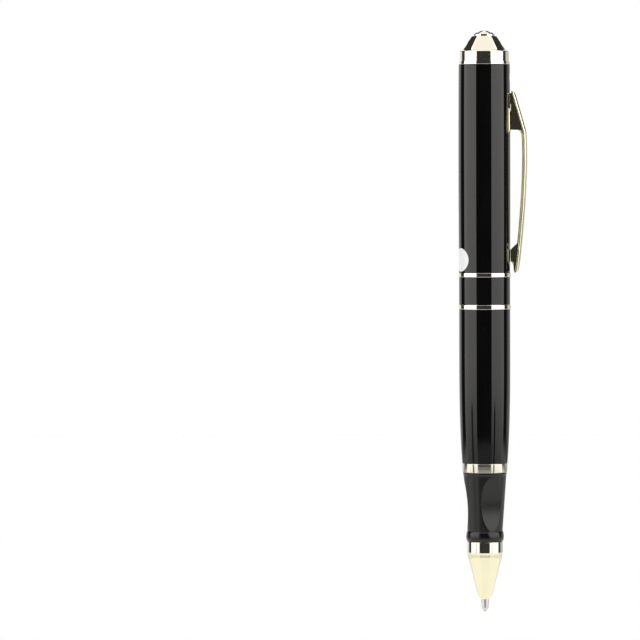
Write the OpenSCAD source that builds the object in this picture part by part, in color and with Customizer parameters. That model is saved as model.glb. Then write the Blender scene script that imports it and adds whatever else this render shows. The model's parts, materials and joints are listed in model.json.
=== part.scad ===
// Ballpoint pen with a hidden camera, built the way the real one goes together. The camera half is on top,
// with its button in the head, and the writing half screws off to bare a USB socket.
// Millimetres. +Z runs up the pen, from the ball to the button. The clip is on the +X side. The origin is on
// the pen's axis, level with the throat of the clip, where the hem of a pocket hangs.

/* [Camera half] */
// Radius of the black barrels where they meet the gold rings
barrel_r = 6.7; // [6.65:0.05:7.4]
// How much the upper barrel swells at the middle of its length
barrel_swell = 0.1; // [0.02:0.02:0.4]
// Length of the upper barrel, ring to lip
upper_len = 54.3; // [53:0.1:70]
// Wall of the upper barrel
upper_wall = 0.45; // [0.35:0.05:0.5]
// Height of the thin lip under the head
lip_h = 0.85; // [0.2:0.05:1]
// How far the lip stands back from the barrel
lip_inset = 0.05; // [0:0.01:0.2]
// How far the trim rings stand proud of the barrel
trim_proud = 0.16; // [0.05:0.01:0.4]

/* [Head and button] */
// How far the head's round band stands back from the barrel
head_inset = 0.25; // [0.1:0.01:0.4]
// Height of the round band and its shoulder, lip to facets
head_band_h = 2.8; // [2.4:0.1:5]
// Number of sloping facets
facets = 5; // [5:1:8]
// Height of the sloping facets
head_facet_h = 3.75; // [3:0.05:6]
// How far the facets' foot stands in from the band
facet_inset = 0.3; // [0.2:0.05:1]
// Height of the shoulder between the band and the facets
shoulder_h = 0.2; // [0.1:0.05:0.5]
// Outer radius of the stepped ring round the button
bezel_r = 2.8; // [2.6:0.05:3.2]
// Width of the ring's lower step
bezel_step_w = 0.3; // [0.1:0.05:0.4]
// Height of the ring round the button
bezel_h = 0.95; // [0.6:0.05:2]
// Radius of the push button
button_r = 1.62; // [1.3:0.02:1.7]
// Height of the button's dome
dome_h = 0.65; // [0.3:0.05:1.2]
// Travel of the button
button_travel = 0.5; // [0.2:0.05:0.7]

/* [Clip] */
// From the top of the barrel down to the top of the clip
clip_drop = 6.9; // [6:0.1:10]
// Height of the clip's foot, down to the throat
clip_foot_h = 10.6; // [8:0.1:14]
// Width of the clip's crowned face
clip_w = 4; // [3.4:0.1:5]
// Width of the clip's web behind the crowned face
clip_web_w = 3.2; // [2.8:0.1:3.3]
// How far the clip's side edge stands off the barrel at the throat
clip_stand = 3.6; // [3:0.1:5]
// How far the clip's arm bows out below the throat
clip_bow = 0.6; // [0:0.1:1.5]
// Thickness of the arm's side edge
clip_edge_t = 0.65; // [0.5:0.05:0.9]
// Height of the crown over the side edges
clip_crown = 0.75; // [0.3:0.05:1]
// Thickness of the saddle plate under the clip's foot
saddle_t = 0.18; // [0.12:0.02:0.22]
// Width of the saddle plate
saddle_w = 5.5; // [5:0.1:7]
// Radius of the pin that the clip turns on
clip_pin_r = 0.5; // [0.4:0.05:0.6]

/* [Camera] */
// From the top of the barrel down to the centre of the lens
lens_drop = 3.4; // [3.3:0.1:3.8]
// Radius of the lens hole in the barrel
lens_hole_r = 1.2; // [0.8:0.05:1.4]
// Radius of the camera module behind the lens
camera_r = 2; // [1.8:0.05:2]
// Width of the circuit boards
board_w = 9.6; // [8.8:0.1:9.8]
// Thickness of the circuit board
board_t = 0.8; // [0.6:0.1:1]

/* [Centre joint] */
// Height of the upper trim ring
upper_ring_h = 1.05; // [1:0.05:2.4]
// Length of the black centre sleeve
sleeve_h = 7.3; // [5:0.1:10]
// Height of the lower trim ring
lower_ring_h = 1.15; // [1:0.05:2.4]
// Wall of the sleeve and of the upper ring round the collar's shank
sleeve_wall = 0.58; // [0.5:0.01:0.6]
// Wall of the collar's shank
shank_wall = 0.55; // [0.5:0.01:0.6]
// Length of the thread
thread_h = 3; // [2:0.5:4]
// Pitch of the thread
thread_pitch = 0.5; // [0.4:0.1:1]
// Depth of the thread
thread_depth = 0.25; // [0.1:0.05:0.3]
// How far the core tube and the thread's crests stand back from the shank
core_inset = 0.05; // [0.04:0.01:0.1]
// Wall of the core tube
core_wall = 0.3; // [0.25:0.01:0.32]

/* [USB socket] */
// How far the white end plug sits inside the core tube
plug_recess = 1; // [0.5:0.1:2]
// Thickness of the white end plug
plug_t = 3; // [2:0.5:5]
// Width of the socket's mouth
usb_w = 6.9; // [6.8:0.05:7]
// Height of the socket's mouth
usb_h = 3.05; // [3:0.05:3.1]
// Wall of the socket's metal shell
usb_wall = 0.4; // [0.3:0.05:0.4]
// Depth of the socket
usb_depth = 7.5; // [6:0.5:8]
// Least plastic left in the end plug beside the socket
plug_rim = 0.84; // [0.8:0.02:1]

/* [Writing half] */
// Length of the lower barrel
lower_len = 40.3; // [34:0.1:48]
// Length of the lower barrel's straight stretch
lower_straight = 9; // [7:0.5:14]
// How much the lower barrel's radius draws in towards the grip
lower_taper = 0.76; // [0.5:0.01:0.9]
// Power of the taper's curve: a higher one keeps the barrel full for longer
lower_curve = 3.2; // [2:0.1:4]
// Wall of the lower barrel at its lower end
lower_wall = 0.59; // [0.4:0.01:0.6]
// Height of the room for the twist mechanism, under the core tube
mech_room = 10.9; // [10.9:0.1:14]
// Height of the gold ring over the grip
grip_ring_h = 2.3; // [1.6:0.1:4]
// How far the gold ring over the grip stands proud of the barrel's lower end
grip_ring_proud = 0.02; // [0:0.01:0.3]
// Travel of the refill
refill_travel = 3.5; // [3:0.1:3.6]
// Turn of the grip that draws the refill in, degrees
twist_angle = 180; // [150:5:200]

/* [Grip] */
// Length of the black grip
grip_len = 18.3; // [17:0.1:22]
// How far the grip's top stands back from the barrel's lower end
grip_inset = 0.22; // [0:0.01:0.3]
// Radius of the grip's waist, just above its collar
grip_waist_r = 4.6; // [4.5:0.05:4.8]
// Height of the waist over the grip's lower end
grip_waist_h = 2.8; // [2.4:0.1:3.6]
// Radius of the grip's rounded collar
grip_collar_r = 4.92; // [4.7:0.02:5.1]
// Radius that the three finger scoops leave
scoop_r = 4.15; // [4.1:0.05:4.5]
// Radius of each scoop's curve
scoop_curve_r = 27.1; // [24:0.5:40]
// Height of a scoop's deepest point over the grip's lower end
scoop_mid_h = 8.1; // [7.6:0.1:10]

/* [Nose] */
// Height of the gold band under the grip
nose_band_h = 2.75; // [1.5:0.05:4]
// Radius of the gold band under the grip
nose_band_r = 4.62; // [4.4:0.02:4.8]
// Height of the cone's rim
nose_rim_h = 0.55; // [0.4:0.05:1.5]
// Length of the cone
cone_len = 11.05; // [10.5:0.05:14]
// Radius of the cone at its rim
cone_top_r = 4.5; // [4.3:0.05:4.6]
// Radius of the cone at its small end
cone_tip_r = 1.8; // [1.5:0.05:2]
// Height of the bevel at the cone's mouth
cone_bevel_h = 0.74; // [0.4:0.02:0.9]

/* [Refill] */
// How far the refill's point shows under the cone
point_show = 3.25; // [2.4:0.05:3.3]
// Radius of the ball
ball_r = 0.38; // [0.3:0.01:0.42]
// Radius of the point where it leaves the cone
point_r = 1; // [0.92:0.01:1.05]
// Radius of the point just above its tip
point_end_r = 0.87; // [0.7:0.01:0.9]
// Height of the point's tapered tip
point_tip_h = 0.6; // [0.4:0.05:1]
// Radius of the ink tube
ink_r = 1.17; // [1.05:0.01:1.25]
// Radius of the spring's wire
wire_r = 0.18; // [0.12:0.01:0.2]
// Number of turns of the spring
spring_turns = 7; // [4:1:9]

/* [Fits] */
// Gap between pieces that are pressed or glued together
seat = 0.02; // [0.01:0.01:0.04]
// Radial clearance between pieces that turn or slide on each other
run = 0.06; // [0.04:0.01:0.08]
// Gap between faces that move past each other
face_gap = 0.05; // [0.03:0.01:0.1]

/* [Hidden] */
$fn = 96;
cut = 1;            // overshoot of a cut past the surface that it opens
skirt = 0.4;        // how far a joined shape starts inside the solid that it is joined to

// Heights up the pen, from the ball to the button. Zero is the throat of the clip.
z_tip = clip_drop + clip_foot_h - upper_len - upper_ring_h - sleeve_h - lower_ring_h - lower_len
    - grip_ring_h - grip_len - nose_band_h - nose_rim_h - cone_len - cone_bevel_h - point_show;
z_mouth = z_tip + point_show;
z_cone = z_mouth + cone_bevel_h;
z_rim = z_cone + cone_len;
z_band = z_rim + nose_rim_h;
z_grip = z_band + nose_band_h;
z_grip_top = z_grip + grip_len;
z_lower = z_grip_top + grip_ring_h;
z_parting = z_lower + lower_len;
z_sleeve = z_parting + lower_ring_h;
z_upper_ring = z_sleeve + sleeve_h;
z_upper = z_upper_ring + upper_ring_h;
z_lip = z_upper + upper_len;
z_head = z_lip + lip_h;
z_facets = z_head + head_band_h;
z_bezel = z_facets + head_facet_h;
z_button = z_bezel + bezel_h;
z_clip_top = z_lip - clip_drop;
z_lens = z_lip - lens_drop;

// Radii, from the barrel inwards.
trim_r = barrel_r + trim_proud;
upper_bore_r = barrel_r - upper_wall;
sleeve_bore_r = barrel_r - sleeve_wall;
shank_r = sleeve_bore_r - seat;
collar_bore_r = shank_r - shank_wall;
core_r = shank_r - core_inset;
neck_r = collar_bore_r - seat;
plug_r = core_r - core_wall - seat;

// Head: the roof over the hollow, and the stack of bulkhead, switch and button inside it.
head_r = barrel_r - head_inset;
head_top_r = bezel_r + 0.02;
facet_foot_r = head_r - facet_inset;
facet_steps = 8;        // points along each facet's foot and head
head_bore_r = button_r + 0.5;
bezel_top_r = bezel_r - 2 * bezel_step_w;
spigot_h = 1.2;
spigot_wall = 0.53;
head_hollow_r = upper_bore_r - seat - spigot_wall;
z_spigot = z_lip - spigot_h;
z_roof = z_facets - 0.5;
bezel_step_h = bezel_h / 2;
bezel_spigot_h = 0.8;
bulkhead_t = 1.4;
z_switch = z_spigot + bulkhead_t;
switch_w = 4.6;
switch_h = 1.6;
plunger_r = 0.8;
plunger_h = 1.8;
z_plunger = z_switch + switch_h + 1 - plunger_h;
stem_r = 1;
button_flange_r = head_bore_r - 0.17;
button_flange_h = 1.1;
z_flange_top = z_bezel - bezel_spigot_h - 2 * face_gap;

// Clip: its pin, its lug and the slot that the lug passes through. It ends level with the upper ring.
clip_len = upper_len - clip_drop;
clip_reach = barrel_r + clip_stand;
pin_x = upper_bore_r - 1.25;
pin_z = z_clip_top - 1.5;
lug_r = 1;
lug_w = 2.4;
lug_h = 3;
slot_w = lug_w + 0.3;
slot_top = z_clip_top - 0.1;
slot_h = 5.2;
anchor_w = 3.8;
anchor_x = pin_x - 2.2;
z_anchor = pin_z - 4.6;
z_anchor_top = pin_z + 1.3;
saddle_len = clip_foot_h - 0.5;
pad_len = 7.1;          // the end of the clip that bends in to the barrel
pad_contact_h = 3;
pad_gap = 0.15;
throat_h = 0.5;

// Camera half: board, battery and their bulkheads.
board_slot_h = 0.7;
lower_bulkhead_t = 1.7;
z_board = z_upper + 5.3;
z_lower_bulkhead = z_board - 1;
z_board_top = z_spigot + board_slot_h;
sensor_w = 3.8;
sensor_t = 0.6;
snout_r = 1.6;
window_t = 0.4;
window_gap = 0.05;
pinhole_turn = 60;      // the microphone and the light sit round the barrel from the clip
z_mic = z_clip_top + 1.5;
z_led = z_clip_top - 2.5;
mic_r = 1.4;
mic_hole_r = 0.35;
led_r = 0.9;
led_lens_r = 0.5;
battery_r = neck_r - core_wall - 0.33;
battery_end_gap = 0.7;
memory_w = 6;
memory_len = 12;
memory_t = 1;
z_memory = z_board + 8;
control_w = 7;
control_t = 0.9;
z_control = z_board + 22;
label_r = 3.05;
label_t = 0.08;
label_turn = 205;       // round from the clip, so that it shows beside the front
z_label = z_upper + label_r + 0.35;

// Centre joint.
thread_root_r = core_r - thread_depth;
undercut_h = 0.5;
z_thread_end = z_parting - thread_h;
z_core_top = z_thread_end - undercut_h;
z_mech_top = z_lower + mech_room;
z_core = z_mech_top + 0.5;
neck_h = 4.5;
collar_head_r = upper_bore_r - seat;
collar_head_h = 2.3;
insert_r = core_r + run + 0.3;
insert_h = thread_h + 0.3;

// USB socket, at the end of the core tube.
z_plug = z_core + plug_recess;
usb_lip = 0.8;          // how far the lower corners of the socket are cut in
usb_reach = sqrt(pow(plug_r - plug_rim, 2) - pow(usb_w / 2 + usb_wall - usb_lip, 2));
usb_x = usb_h / 2 + usb_wall - usb_reach;
split_x = usb_x + usb_h / 2 + usb_wall + 0.5;
usb_tongue_w = 5.2;
usb_tongue_t = 1;
usb_back = 1.2;
contact_w = 0.4;
contact_pitch = 0.8;
contact_t = 0.1;
usb_board_len = 6;
z_usb_board = z_plug + plug_t + seat;
plug_notch_r = 0.6;

// Writing half: the twist mechanism.
core_way_r = core_r + run;
lower_end_r = barrel_r - lower_taper;
grip_ring_r = lower_end_r + grip_ring_proud;
grip_top_r = lower_end_r - grip_inset;
mech_bore_r = lower_end_r - lower_wall;
housing_wall = 0.63;
cam_wall = 1.14;
housing_r = mech_bore_r - seat;
housing_bore_r = housing_r - housing_wall;
cam_r = housing_bore_r - run;
cam_bore_r = cam_r - cam_wall;
cam_flange_r = mech_bore_r - 0.15;
cam_flange_h = 0.7;
cam_socket_h = 3.3;
pusher_r = cam_bore_r - run;
pusher_h = 5.2;
follower_r = 0.6;
cam_slot_r = follower_r + 0.18;
cam_slot_steps = 20;
z_lip_in = z_lower + 0.5;
z_cam_flange = z_mech_top - 0.2 - cam_flange_h;
z_housing_top = z_cam_flange - face_gap;
z_follower = z_lower + 2.8;
z_pusher = z_follower - 1.1;
ink_grip_h = 2;

// Grip and nose.
grip_bore_r = 3;
nose_spigot_r = 3.6;
nose_spigot_h = 4.7;
scoop_turns = [52, 172, 292];
mouth_r = point_r + 0.05;
mouth_rim = 0.12;       // flat left round the mouth
mouth_len = 1.95;
throat_r = ink_r + 0.08;
spring_room_r = 2;
z_throat = z_mouth + mouth_len;
z_spring = z_throat + 2.8;
spring_len = 8;
spring_r = 1.6;
z_stop = z_spring + spring_len;
stop_h = 1;
stop_r = 1.85;

// Refill.
ball_z = z_tip + ball_r;
socket_r = ball_r + 0.02;
point_tip_r = socket_r + 0.12;
z_point = ball_z - 0.16;
z_point_shank = z_throat + 0.4;
point_body_h = 6.8;     // from the cone's throat to the point's upper end
z_point_top = z_throat + point_body_h;
ink_bore_r = 0.3;
ink_wall = 0.3;
spring_sides = 8;
spring_steps = 14;

gold = [0.86, 0.76, 0.5];
pale_gold = [0.93, 0.88, 0.72];
lacquer = [0.06, 0.06, 0.06];
steel = [0.78, 0.78, 0.8];

// A round bar between two heights.
module bar(r, z0, z1) {
    translate([0, 0, z0]) cylinder(r = r, h = z1 - z0);
}

// A plain tube between two heights.
module pipe(r, bore, z0, z1) {
    difference() {
        bar(r, z0, z1);
        bar(bore, z0 - cut, z1 + cut);
    }
}

// A box between two corners.
module block(low, high) {
    translate(low) cube(high - low);
}

// A bar along a line from the pen's axis, turned round the axis by turn.
module spoke(r, from, to, z, turn = 0) {
    rotate([0, 0, turn]) translate([from, 0, z]) rotate([0, 90, 0]) cylinder(r = r, h = to - from);
}

// A skin through closed rings of points, each ring with as many points as the next.
module loft(rings) {
    n = len(rings[0]);
    last = len(rings) - 1;
    sides = [
        for (k = [0:last - 1]) for (i = [0:n - 1]) let (j = (i + 1) % n)
            each [[k * n + i, k * n + j, (k + 1) * n + j], [k * n + i, (k + 1) * n + j, (k + 1) * n + i]]
    ];
    ends = [[for (i = [n - 1:-1:0]) i], [for (i = [0:n - 1]) last * n + i]];
    polyhedron(points = [for (ring = rings) each ring], faces = concat(sides, ends));
}

// ---- Camera half: barrel and head ----

// Radius of the upper barrel's surface at a height: a shallow swell, widest in the middle.
function upper_r(z) = barrel_r + barrel_swell * (1 - pow(2 * (z - z_upper) / upper_len - 1, 2));

// The upper barrel as a solid bar, with a skin added to its radius.
module upper_form(skin = 0) {
    steps = 16;
    rotate_extrude() polygon([
        [0, z_upper],
        for (i = [0:steps]) let (z = z_upper + upper_len * i / steps) [upper_r(z) + skin, z],
        [0, z_lip]
    ]);
}

module upper_barrel() {
    color(lacquer) difference() {
        upper_form();
        bar(upper_bore_r, z_upper - cut, z_lip + cut);
        block([pin_x, -slot_w / 2, slot_top - slot_h], [barrel_r + cut, slot_w / 2, slot_top]);
        spoke(lens_hole_r, pin_x, barrel_r + cut, z_lens);
        spoke(mic_hole_r, pin_x, barrel_r + cut, z_mic, pinhole_turn);
        spoke(led_lens_r + seat, pin_x, barrel_r + cut, z_led, pinhole_turn);
    }
}

module head_lip() {
    color(gold) pipe(barrel_r - lip_inset, upper_bore_r, z_lip, z_head);
}

// One outline of the facets: a circle at their foot, a polygon at their head.
function facet_ring(z, flat) = [
    for (side = [0:facets - 1]) for (i = [0:facet_steps - 1])
        let (
            off = (i / facet_steps - 0.5) * 360 / facets,
            turn = -90 + side * 360 / facets + off,
            r = flat ? head_top_r / cos(off) : facet_foot_r
        )
        [r * cos(turn), r * sin(turn), z]
];

// The head's facets start on a circle over the band's shoulder and end on straight edges round the
// bezel. One of them faces the front.
module head_cap() {
    color(gold) difference() {
        union() {
            bar(upper_bore_r - seat, z_spigot, z_head);
            bar(head_r, z_head, z_facets - shoulder_h);
            translate([0, 0, z_facets - shoulder_h])
                cylinder(r1 = head_r, r2 = facet_foot_r + seat, h = shoulder_h);
            loft([facet_ring(z_bezel, true), facet_ring(z_facets - seat, false)]);
        }
        bar(head_hollow_r, z_spigot - cut, z_roof);
        bar(head_bore_r, z_roof - cut, z_bezel + cut);
    }
}

module button_bezel() {
    color(gold) difference() {
        union() {
            bar(bezel_r, z_bezel, z_bezel + bezel_step_h);
            translate([0, 0, z_bezel + bezel_step_h])
                cylinder(r1 = (bezel_r + bezel_top_r) / 2, r2 = bezel_top_r, h = bezel_h - bezel_step_h);
            bar(head_bore_r - seat, z_bezel - bezel_spigot_h, z_bezel);
        }
        bar(button_r + run, z_bezel - bezel_spigot_h - cut, z_button + cut);
    }
}

// Button: stem, flange that keeps it in, and a low dome on top.
module push_button() {
    dome_r = (button_r * button_r + dome_h * dome_h) / (2 * dome_h);
    color(gold) {
        bar(stem_r, z_plunger + plunger_h, z_flange_top);
        bar(button_flange_r, z_flange_top - button_flange_h, z_flange_top);
        bar(button_r, z_flange_top, z_button);
        intersection() {
            translate([0, 0, z_button + dome_h - dome_r]) sphere(r = dome_r);
            bar(button_r, z_button, z_button + dome_h);
        }
    }
}

module switch_plunger() {
    color("white") bar(plunger_r, z_plunger, z_plunger + plunger_h);
}

module switch_case() {
    color([0.2, 0.2, 0.2]) difference() {
        block([-switch_w / 2, -switch_w / 2, z_switch], [switch_w / 2, switch_w / 2, z_switch + switch_h]);
        bar(plunger_r + run, z_plunger - button_travel - face_gap, z_switch + switch_h + cut);
    }
}

// Disc inside the head: it carries the switch and holds the top of the board in a slot.
module head_bulkhead() {
    color([0.3, 0.3, 0.32]) difference() {
        bar(head_hollow_r - seat, z_spigot, z_switch);
        board_slot(z_spigot - cut, z_board_top);
    }
}

module board_slot(z0, z1) {
    block([-board_t / 2 - seat, -board_w / 2 - seat, z0], [board_t / 2 + seat, board_w / 2 + seat, z1]);
}

// ---- Clip ----

// Curved plate on the barrel under the clip's foot.
module clip_saddle() {
    color(pale_gold) intersection() {
        difference() {
            upper_form(saddle_t);
            upper_form();
            block([pin_x, -slot_w / 2, slot_top - slot_h], [barrel_r + cut, slot_w / 2, slot_top]);
        }
        block([0, -saddle_w / 2, z_clip_top - 0.5 - saddle_len],
            [barrel_r + cut, saddle_w / 2, z_clip_top - 0.5]);
    }
}

// Fork inside the barrel that holds the clip's pin.
module clip_anchor() {
    color(steel) difference() {
        intersection() {
            block([anchor_x, -anchor_w / 2, z_anchor], [upper_bore_r, anchor_w / 2, z_anchor_top]);
            bar(upper_bore_r - seat, z_anchor - cut, z_anchor_top + cut);
        }
        block([pin_x - lug_r - 0.3, -lug_w / 2 - face_gap, z_anchor - cut],
            [upper_bore_r + cut, lug_w / 2 + face_gap, z_anchor_top + cut]);
        cross_bar(clip_pin_r + seat, anchor_w + 2 * cut);
    }
}

module cross_bar(r, length) {
    translate([pin_x, 0, pin_z]) rotate([90, 0, 0]) cylinder(r = r, h = length, center = true);
}

module clip_pin() {
    color(steel) cross_bar(clip_pin_r, anchor_w);
}

// The clip's side view, as rows of [depth below its top, inner face, side edge, height of the crown].
clip_base_x = barrel_r + barrel_swell + saddle_t + 0.1;
clip_pad_x = barrel_r + barrel_swell / 2 + pad_gap;
clip_end_x = clip_reach - 2.1;
pad_start = clip_len - pad_len - 0.6;
foot_slope = (clip_reach - clip_base_x - 0.5) / (clip_foot_h - 1);
foot_rows = [
    [0, clip_base_x, clip_base_x + 0.15, 0.05],
    [0.35, clip_base_x, clip_base_x + 0.35, clip_crown * 0.6],
    [1, clip_base_x, clip_base_x + 0.5, clip_crown],
    [clip_foot_h / 2, clip_base_x, clip_base_x + 0.5 + foot_slope * (clip_foot_h / 2 - 1), clip_crown],
    [clip_foot_h - throat_h, clip_base_x, clip_reach - foot_slope * throat_h, clip_crown]
];
arm_steps = 8;
arm_rows = [
    for (i = [0:arm_steps])
        let (
            t = i / arm_steps,
            middle = (clip_foot_h + pad_start) / 2 - 3,
            depth = bezier(clip_foot_h, middle, pad_start, t),
            edge = bezier(clip_reach, clip_reach + clip_bow, clip_reach - 1.2, t)
        )
        [depth, edge - clip_edge_t, edge, clip_crown]
];
pad_rows = [
    [pad_start + 1.7, clip_pad_x, clip_end_x + 0.75, clip_crown],
    [pad_start + 1.7 + pad_contact_h, clip_pad_x + 0.05, clip_end_x + 0.4, clip_crown],
    [pad_start + 2.6 + pad_contact_h, clip_pad_x + 0.55, clip_end_x + 0.25, clip_crown],
    [clip_len - 0.4, clip_pad_x + 0.75, clip_end_x, clip_crown * 0.8],
    [clip_len, clip_pad_x + 0.95, clip_end_x - 0.1, clip_crown * 0.35]
];
clip_rows = concat(foot_rows, arm_rows, pad_rows);

function bezier(a, b, c, t) = a * (1 - t) * (1 - t) + 2 * b * t * (1 - t) + c * t * t;

// One cross-section of the clip: a web, and a crowned face that is a little wider.
crown_steps = 8;
function clip_section(row) =
    let (
        z = z_clip_top - row[0],
        half = clip_w / 2,
        web = clip_web_w / 2,
        shoulder = row[2] - clip_edge_t * 0.2
    )
    concat(
        [[row[1], -web, z], [shoulder, -web, z], [shoulder, -half, z]],
        [for (i = [0:crown_steps]) let (a = 180 * i / crown_steps)
            [row[2] + row[3] * sin(a), -half * cos(a), z]],
        [[shoulder, half, z], [shoulder, web, z], [row[1], web, z]]
    );

module pocket_clip() {
    color(pale_gold) {
        loft([for (row = clip_rows) clip_section(row)]);
        difference() {
            union() {
                cross_bar(lug_r, lug_w);
                block([pin_x, -lug_w / 2, pin_z + lug_r - lug_h],
                    [clip_base_x + 0.1, lug_w / 2, pin_z + lug_r]);
            }
            cross_bar(clip_pin_r + run, lug_w + 2 * cut);
        }
    }
}

// ---- Camera and electronics ----

module main_board() {
    color([0.05, 0.35, 0.15])
        block([-board_t / 2, -board_w / 2, z_board], [board_t / 2, board_w / 2, z_board_top]);
}

module memory_chip() {
    face = board_t / 2;
    color([0.12, 0.12, 0.13])
        block([face, -memory_w / 2, z_memory], [face + memory_t, memory_w / 2, z_memory + memory_len]);
}

module control_chip() {
    face = -board_t / 2;
    color([0.12, 0.12, 0.13])
        block([face - control_t, -control_w / 2, z_control], [face, control_w / 2, z_control + control_w]);
}

module image_sensor() {
    half = sensor_w / 2;
    color([0.2, 0.2, 0.3])
        block([board_t / 2, -half, z_lens - half], [board_t / 2 + sensor_t, half, z_lens + half]);
}

// Camera module: a lens holder on the sensor, with a snout that reaches the hole in the barrel.
module camera_module() {
    base = board_t / 2 + sensor_t;
    front = snout_front();
    color([0.08, 0.08, 0.08]) difference() {
        union() {
            spoke(camera_r, base, front - 1.4, z_lens);
            spoke(snout_r, base, front, z_lens);
        }
        spoke(lens_hole_r * 0.6, base + 1, front + cut, z_lens);
    }
}

function snout_front() = sqrt(upper_bore_r * upper_bore_r - snout_r * snout_r) - window_gap;

module lens_window() {
    color([0.55, 0.6, 0.75]) spoke(lens_hole_r - seat, snout_front(), snout_front() + window_t, z_lens);
}

module microphone() {
    color(steel) spoke(mic_r, upper_bore_r - 1.7, upper_bore_r - 0.2, z_mic, pinhole_turn);
}

module status_light() {
    color([0.5, 0.65, 0.9]) {
        spoke(led_r, upper_bore_r - 1.3, upper_bore_r - 0.1, z_led, pinhole_turn);
        spoke(led_lens_r, upper_bore_r - 1.3, barrel_r - 0.05, z_led, pinhole_turn);
    }
}

// Disc on top of the battery that holds the foot of the board.
module battery_bulkhead() {
    color([0.3, 0.3, 0.32]) difference() {
        bar(upper_bore_r - seat, z_lower_bulkhead, z_lower_bulkhead + lower_bulkhead_t);
        board_slot(z_board, z_board + 2);
    }
}

module battery() {
    color([0.7, 0.7, 0.72]) bar(battery_r, z_usb_board + usb_board_len + battery_end_gap, z_lower_bulkhead);
}

// Round paper label on the side away from the clip.
module label_sticker() {
    color("white") intersection() {
        difference() {
            upper_form(label_t);
            upper_form();
        }
        spoke(label_r, 1, barrel_r + cut, z_label + seat, label_turn);
    }
}

// ---- Centre joint ----

module upper_ring() {
    color(gold) pipe(trim_r, sleeve_bore_r, z_upper_ring, z_upper);
}

module centre_sleeve() {
    color(lacquer) pipe(barrel_r, sleeve_bore_r, z_sleeve + face_gap, z_upper_ring);
}

module lower_ring() {
    color(gold) pipe(trim_r, shank_r + run, z_parting + face_gap, z_sleeve);
}

// Gold collar: a head in the upper barrel, a plain shank for the sleeve and rings, and a thread.
module threaded_collar() {
    ridges = floor(thread_h / thread_pitch);
    color(gold) difference() {
        union() {
            bar(collar_head_r, z_upper, z_upper + collar_head_h);
            bar(shank_r, z_parting + face_gap, z_upper);
            bar(thread_root_r, z_core_top, z_parting + face_gap);
            rotate_extrude() polygon([
                [thread_root_r - skirt, z_thread_end],
                for (i = [0:ridges - 1]) let (z = z_thread_end + i * thread_pitch) each [
                    [thread_root_r, z],
                    [core_r, z + thread_pitch * 0.35],
                    [core_r, z + thread_pitch * 0.65]
                ],
                [thread_root_r, z_thread_end + ridges * thread_pitch],
                [thread_root_r - skirt, z_thread_end + ridges * thread_pitch]
            ]);
        }
        bar(collar_bore_r, z_core_top - cut, z_upper + collar_head_h + cut);
    }
}

module core_tube() {
    bore = core_r - core_wall;
    color(gold) difference() {
        union() {
            bar(core_r, z_core, z_core_top);
            bar(neck_r, z_core_top - skirt, z_core_top + neck_h);
        }
        bar(bore, z_core - cut, z_core_top - core_wall * 2);
        bar(neck_r - core_wall, z_core_top - cut * 2, z_core_top + neck_h + cut);
    }
}

// ---- USB socket ----

// Outline of the socket: a flat oblong with its two lower corners cut in. It lies across the pen.
module usb_outline(grow = 0) {
    w = usb_w / 2 + grow;
    h = usb_h / 2 + grow;
    polygon([
        [-h, -w + usb_lip], [-h, w - usb_lip], [-h * 0.2, w - usb_lip * 0.6],
        [h * 0.1, w], [h, w], [h, -w], [h * 0.1, -w], [-h * 0.2, -w + usb_lip * 0.6]
    ]);
}

module usb_bar(grow, z0, z1) {
    translate([usb_x, 0, z0]) linear_extrude(height = z1 - z0) usb_outline(grow);
}

// The white end plug is in two halves, which meet along a straight line across the end.
module plug_disc() {
    difference() {
        bar(plug_r, z_plug, z_plug + plug_t);
        usb_bar(usb_wall + seat, z_plug - cut, z_plug + plug_t + cut);
        translate([split_x, plug_r, z_plug])
            cylinder(r = plug_notch_r, h = 2 * plug_t, center = true);
    }
}

module plug_socket_half() {
    color("white") intersection() {
        plug_disc();
        block([-plug_r, -plug_r, z_plug - cut], [split_x - seat, plug_r, z_plug + plug_t + cut]);
    }
}

module plug_blank_half() {
    color("white") intersection() {
        plug_disc();
        block([split_x + seat, -plug_r, z_plug - cut], [plug_r, plug_r, z_plug + plug_t + cut]);
    }
}

module usb_shell() {
    color(steel) difference() {
        usb_bar(usb_wall, z_plug, z_plug + usb_depth);
        usb_bar(0, z_plug - cut, z_plug + usb_depth - usb_wall);
    }
}

// Black blade in the socket's mouth.
module usb_tongue() {
    back = z_plug + usb_depth - usb_wall;
    tongue_x = usb_x + usb_h / 2 - 0.55;
    color([0.08, 0.08, 0.08]) {
        usb_bar(-seat, back - usb_back, back);
        block([tongue_x - usb_tongue_t, -usb_tongue_w / 2, z_plug + 1],
            [tongue_x, usb_tongue_w / 2, back - usb_back]);
    }
}

module usb_contacts() {
    back = z_plug + usb_depth - usb_wall - usb_back;
    contact_x = usb_x + usb_h / 2 - 0.55 - usb_tongue_t;
    color(gold) for (i = [-2:2])
        block([contact_x - contact_t, i * contact_pitch - contact_w / 2, z_plug + 1.3],
            [contact_x, i * contact_pitch + contact_w / 2, back]);
}

module usb_board() {
    board_x = usb_x + usb_h / 2 + usb_wall;
    color([0.05, 0.35, 0.15])
        block([board_x, -board_w / 2, z_usb_board],
            [board_x + board_t, board_w / 2, z_usb_board + usb_board_len]);
}

// ---- Writing half ----

// Radius of the lower barrel: straight at the top, then drawn in with a smooth curve.
function lower_r(z) =
    let (t = max(0, (z_parting - lower_straight - z) / (lower_len - lower_straight)))
    barrel_r - (barrel_r - lower_end_r) * pow(t, lower_curve);

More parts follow.
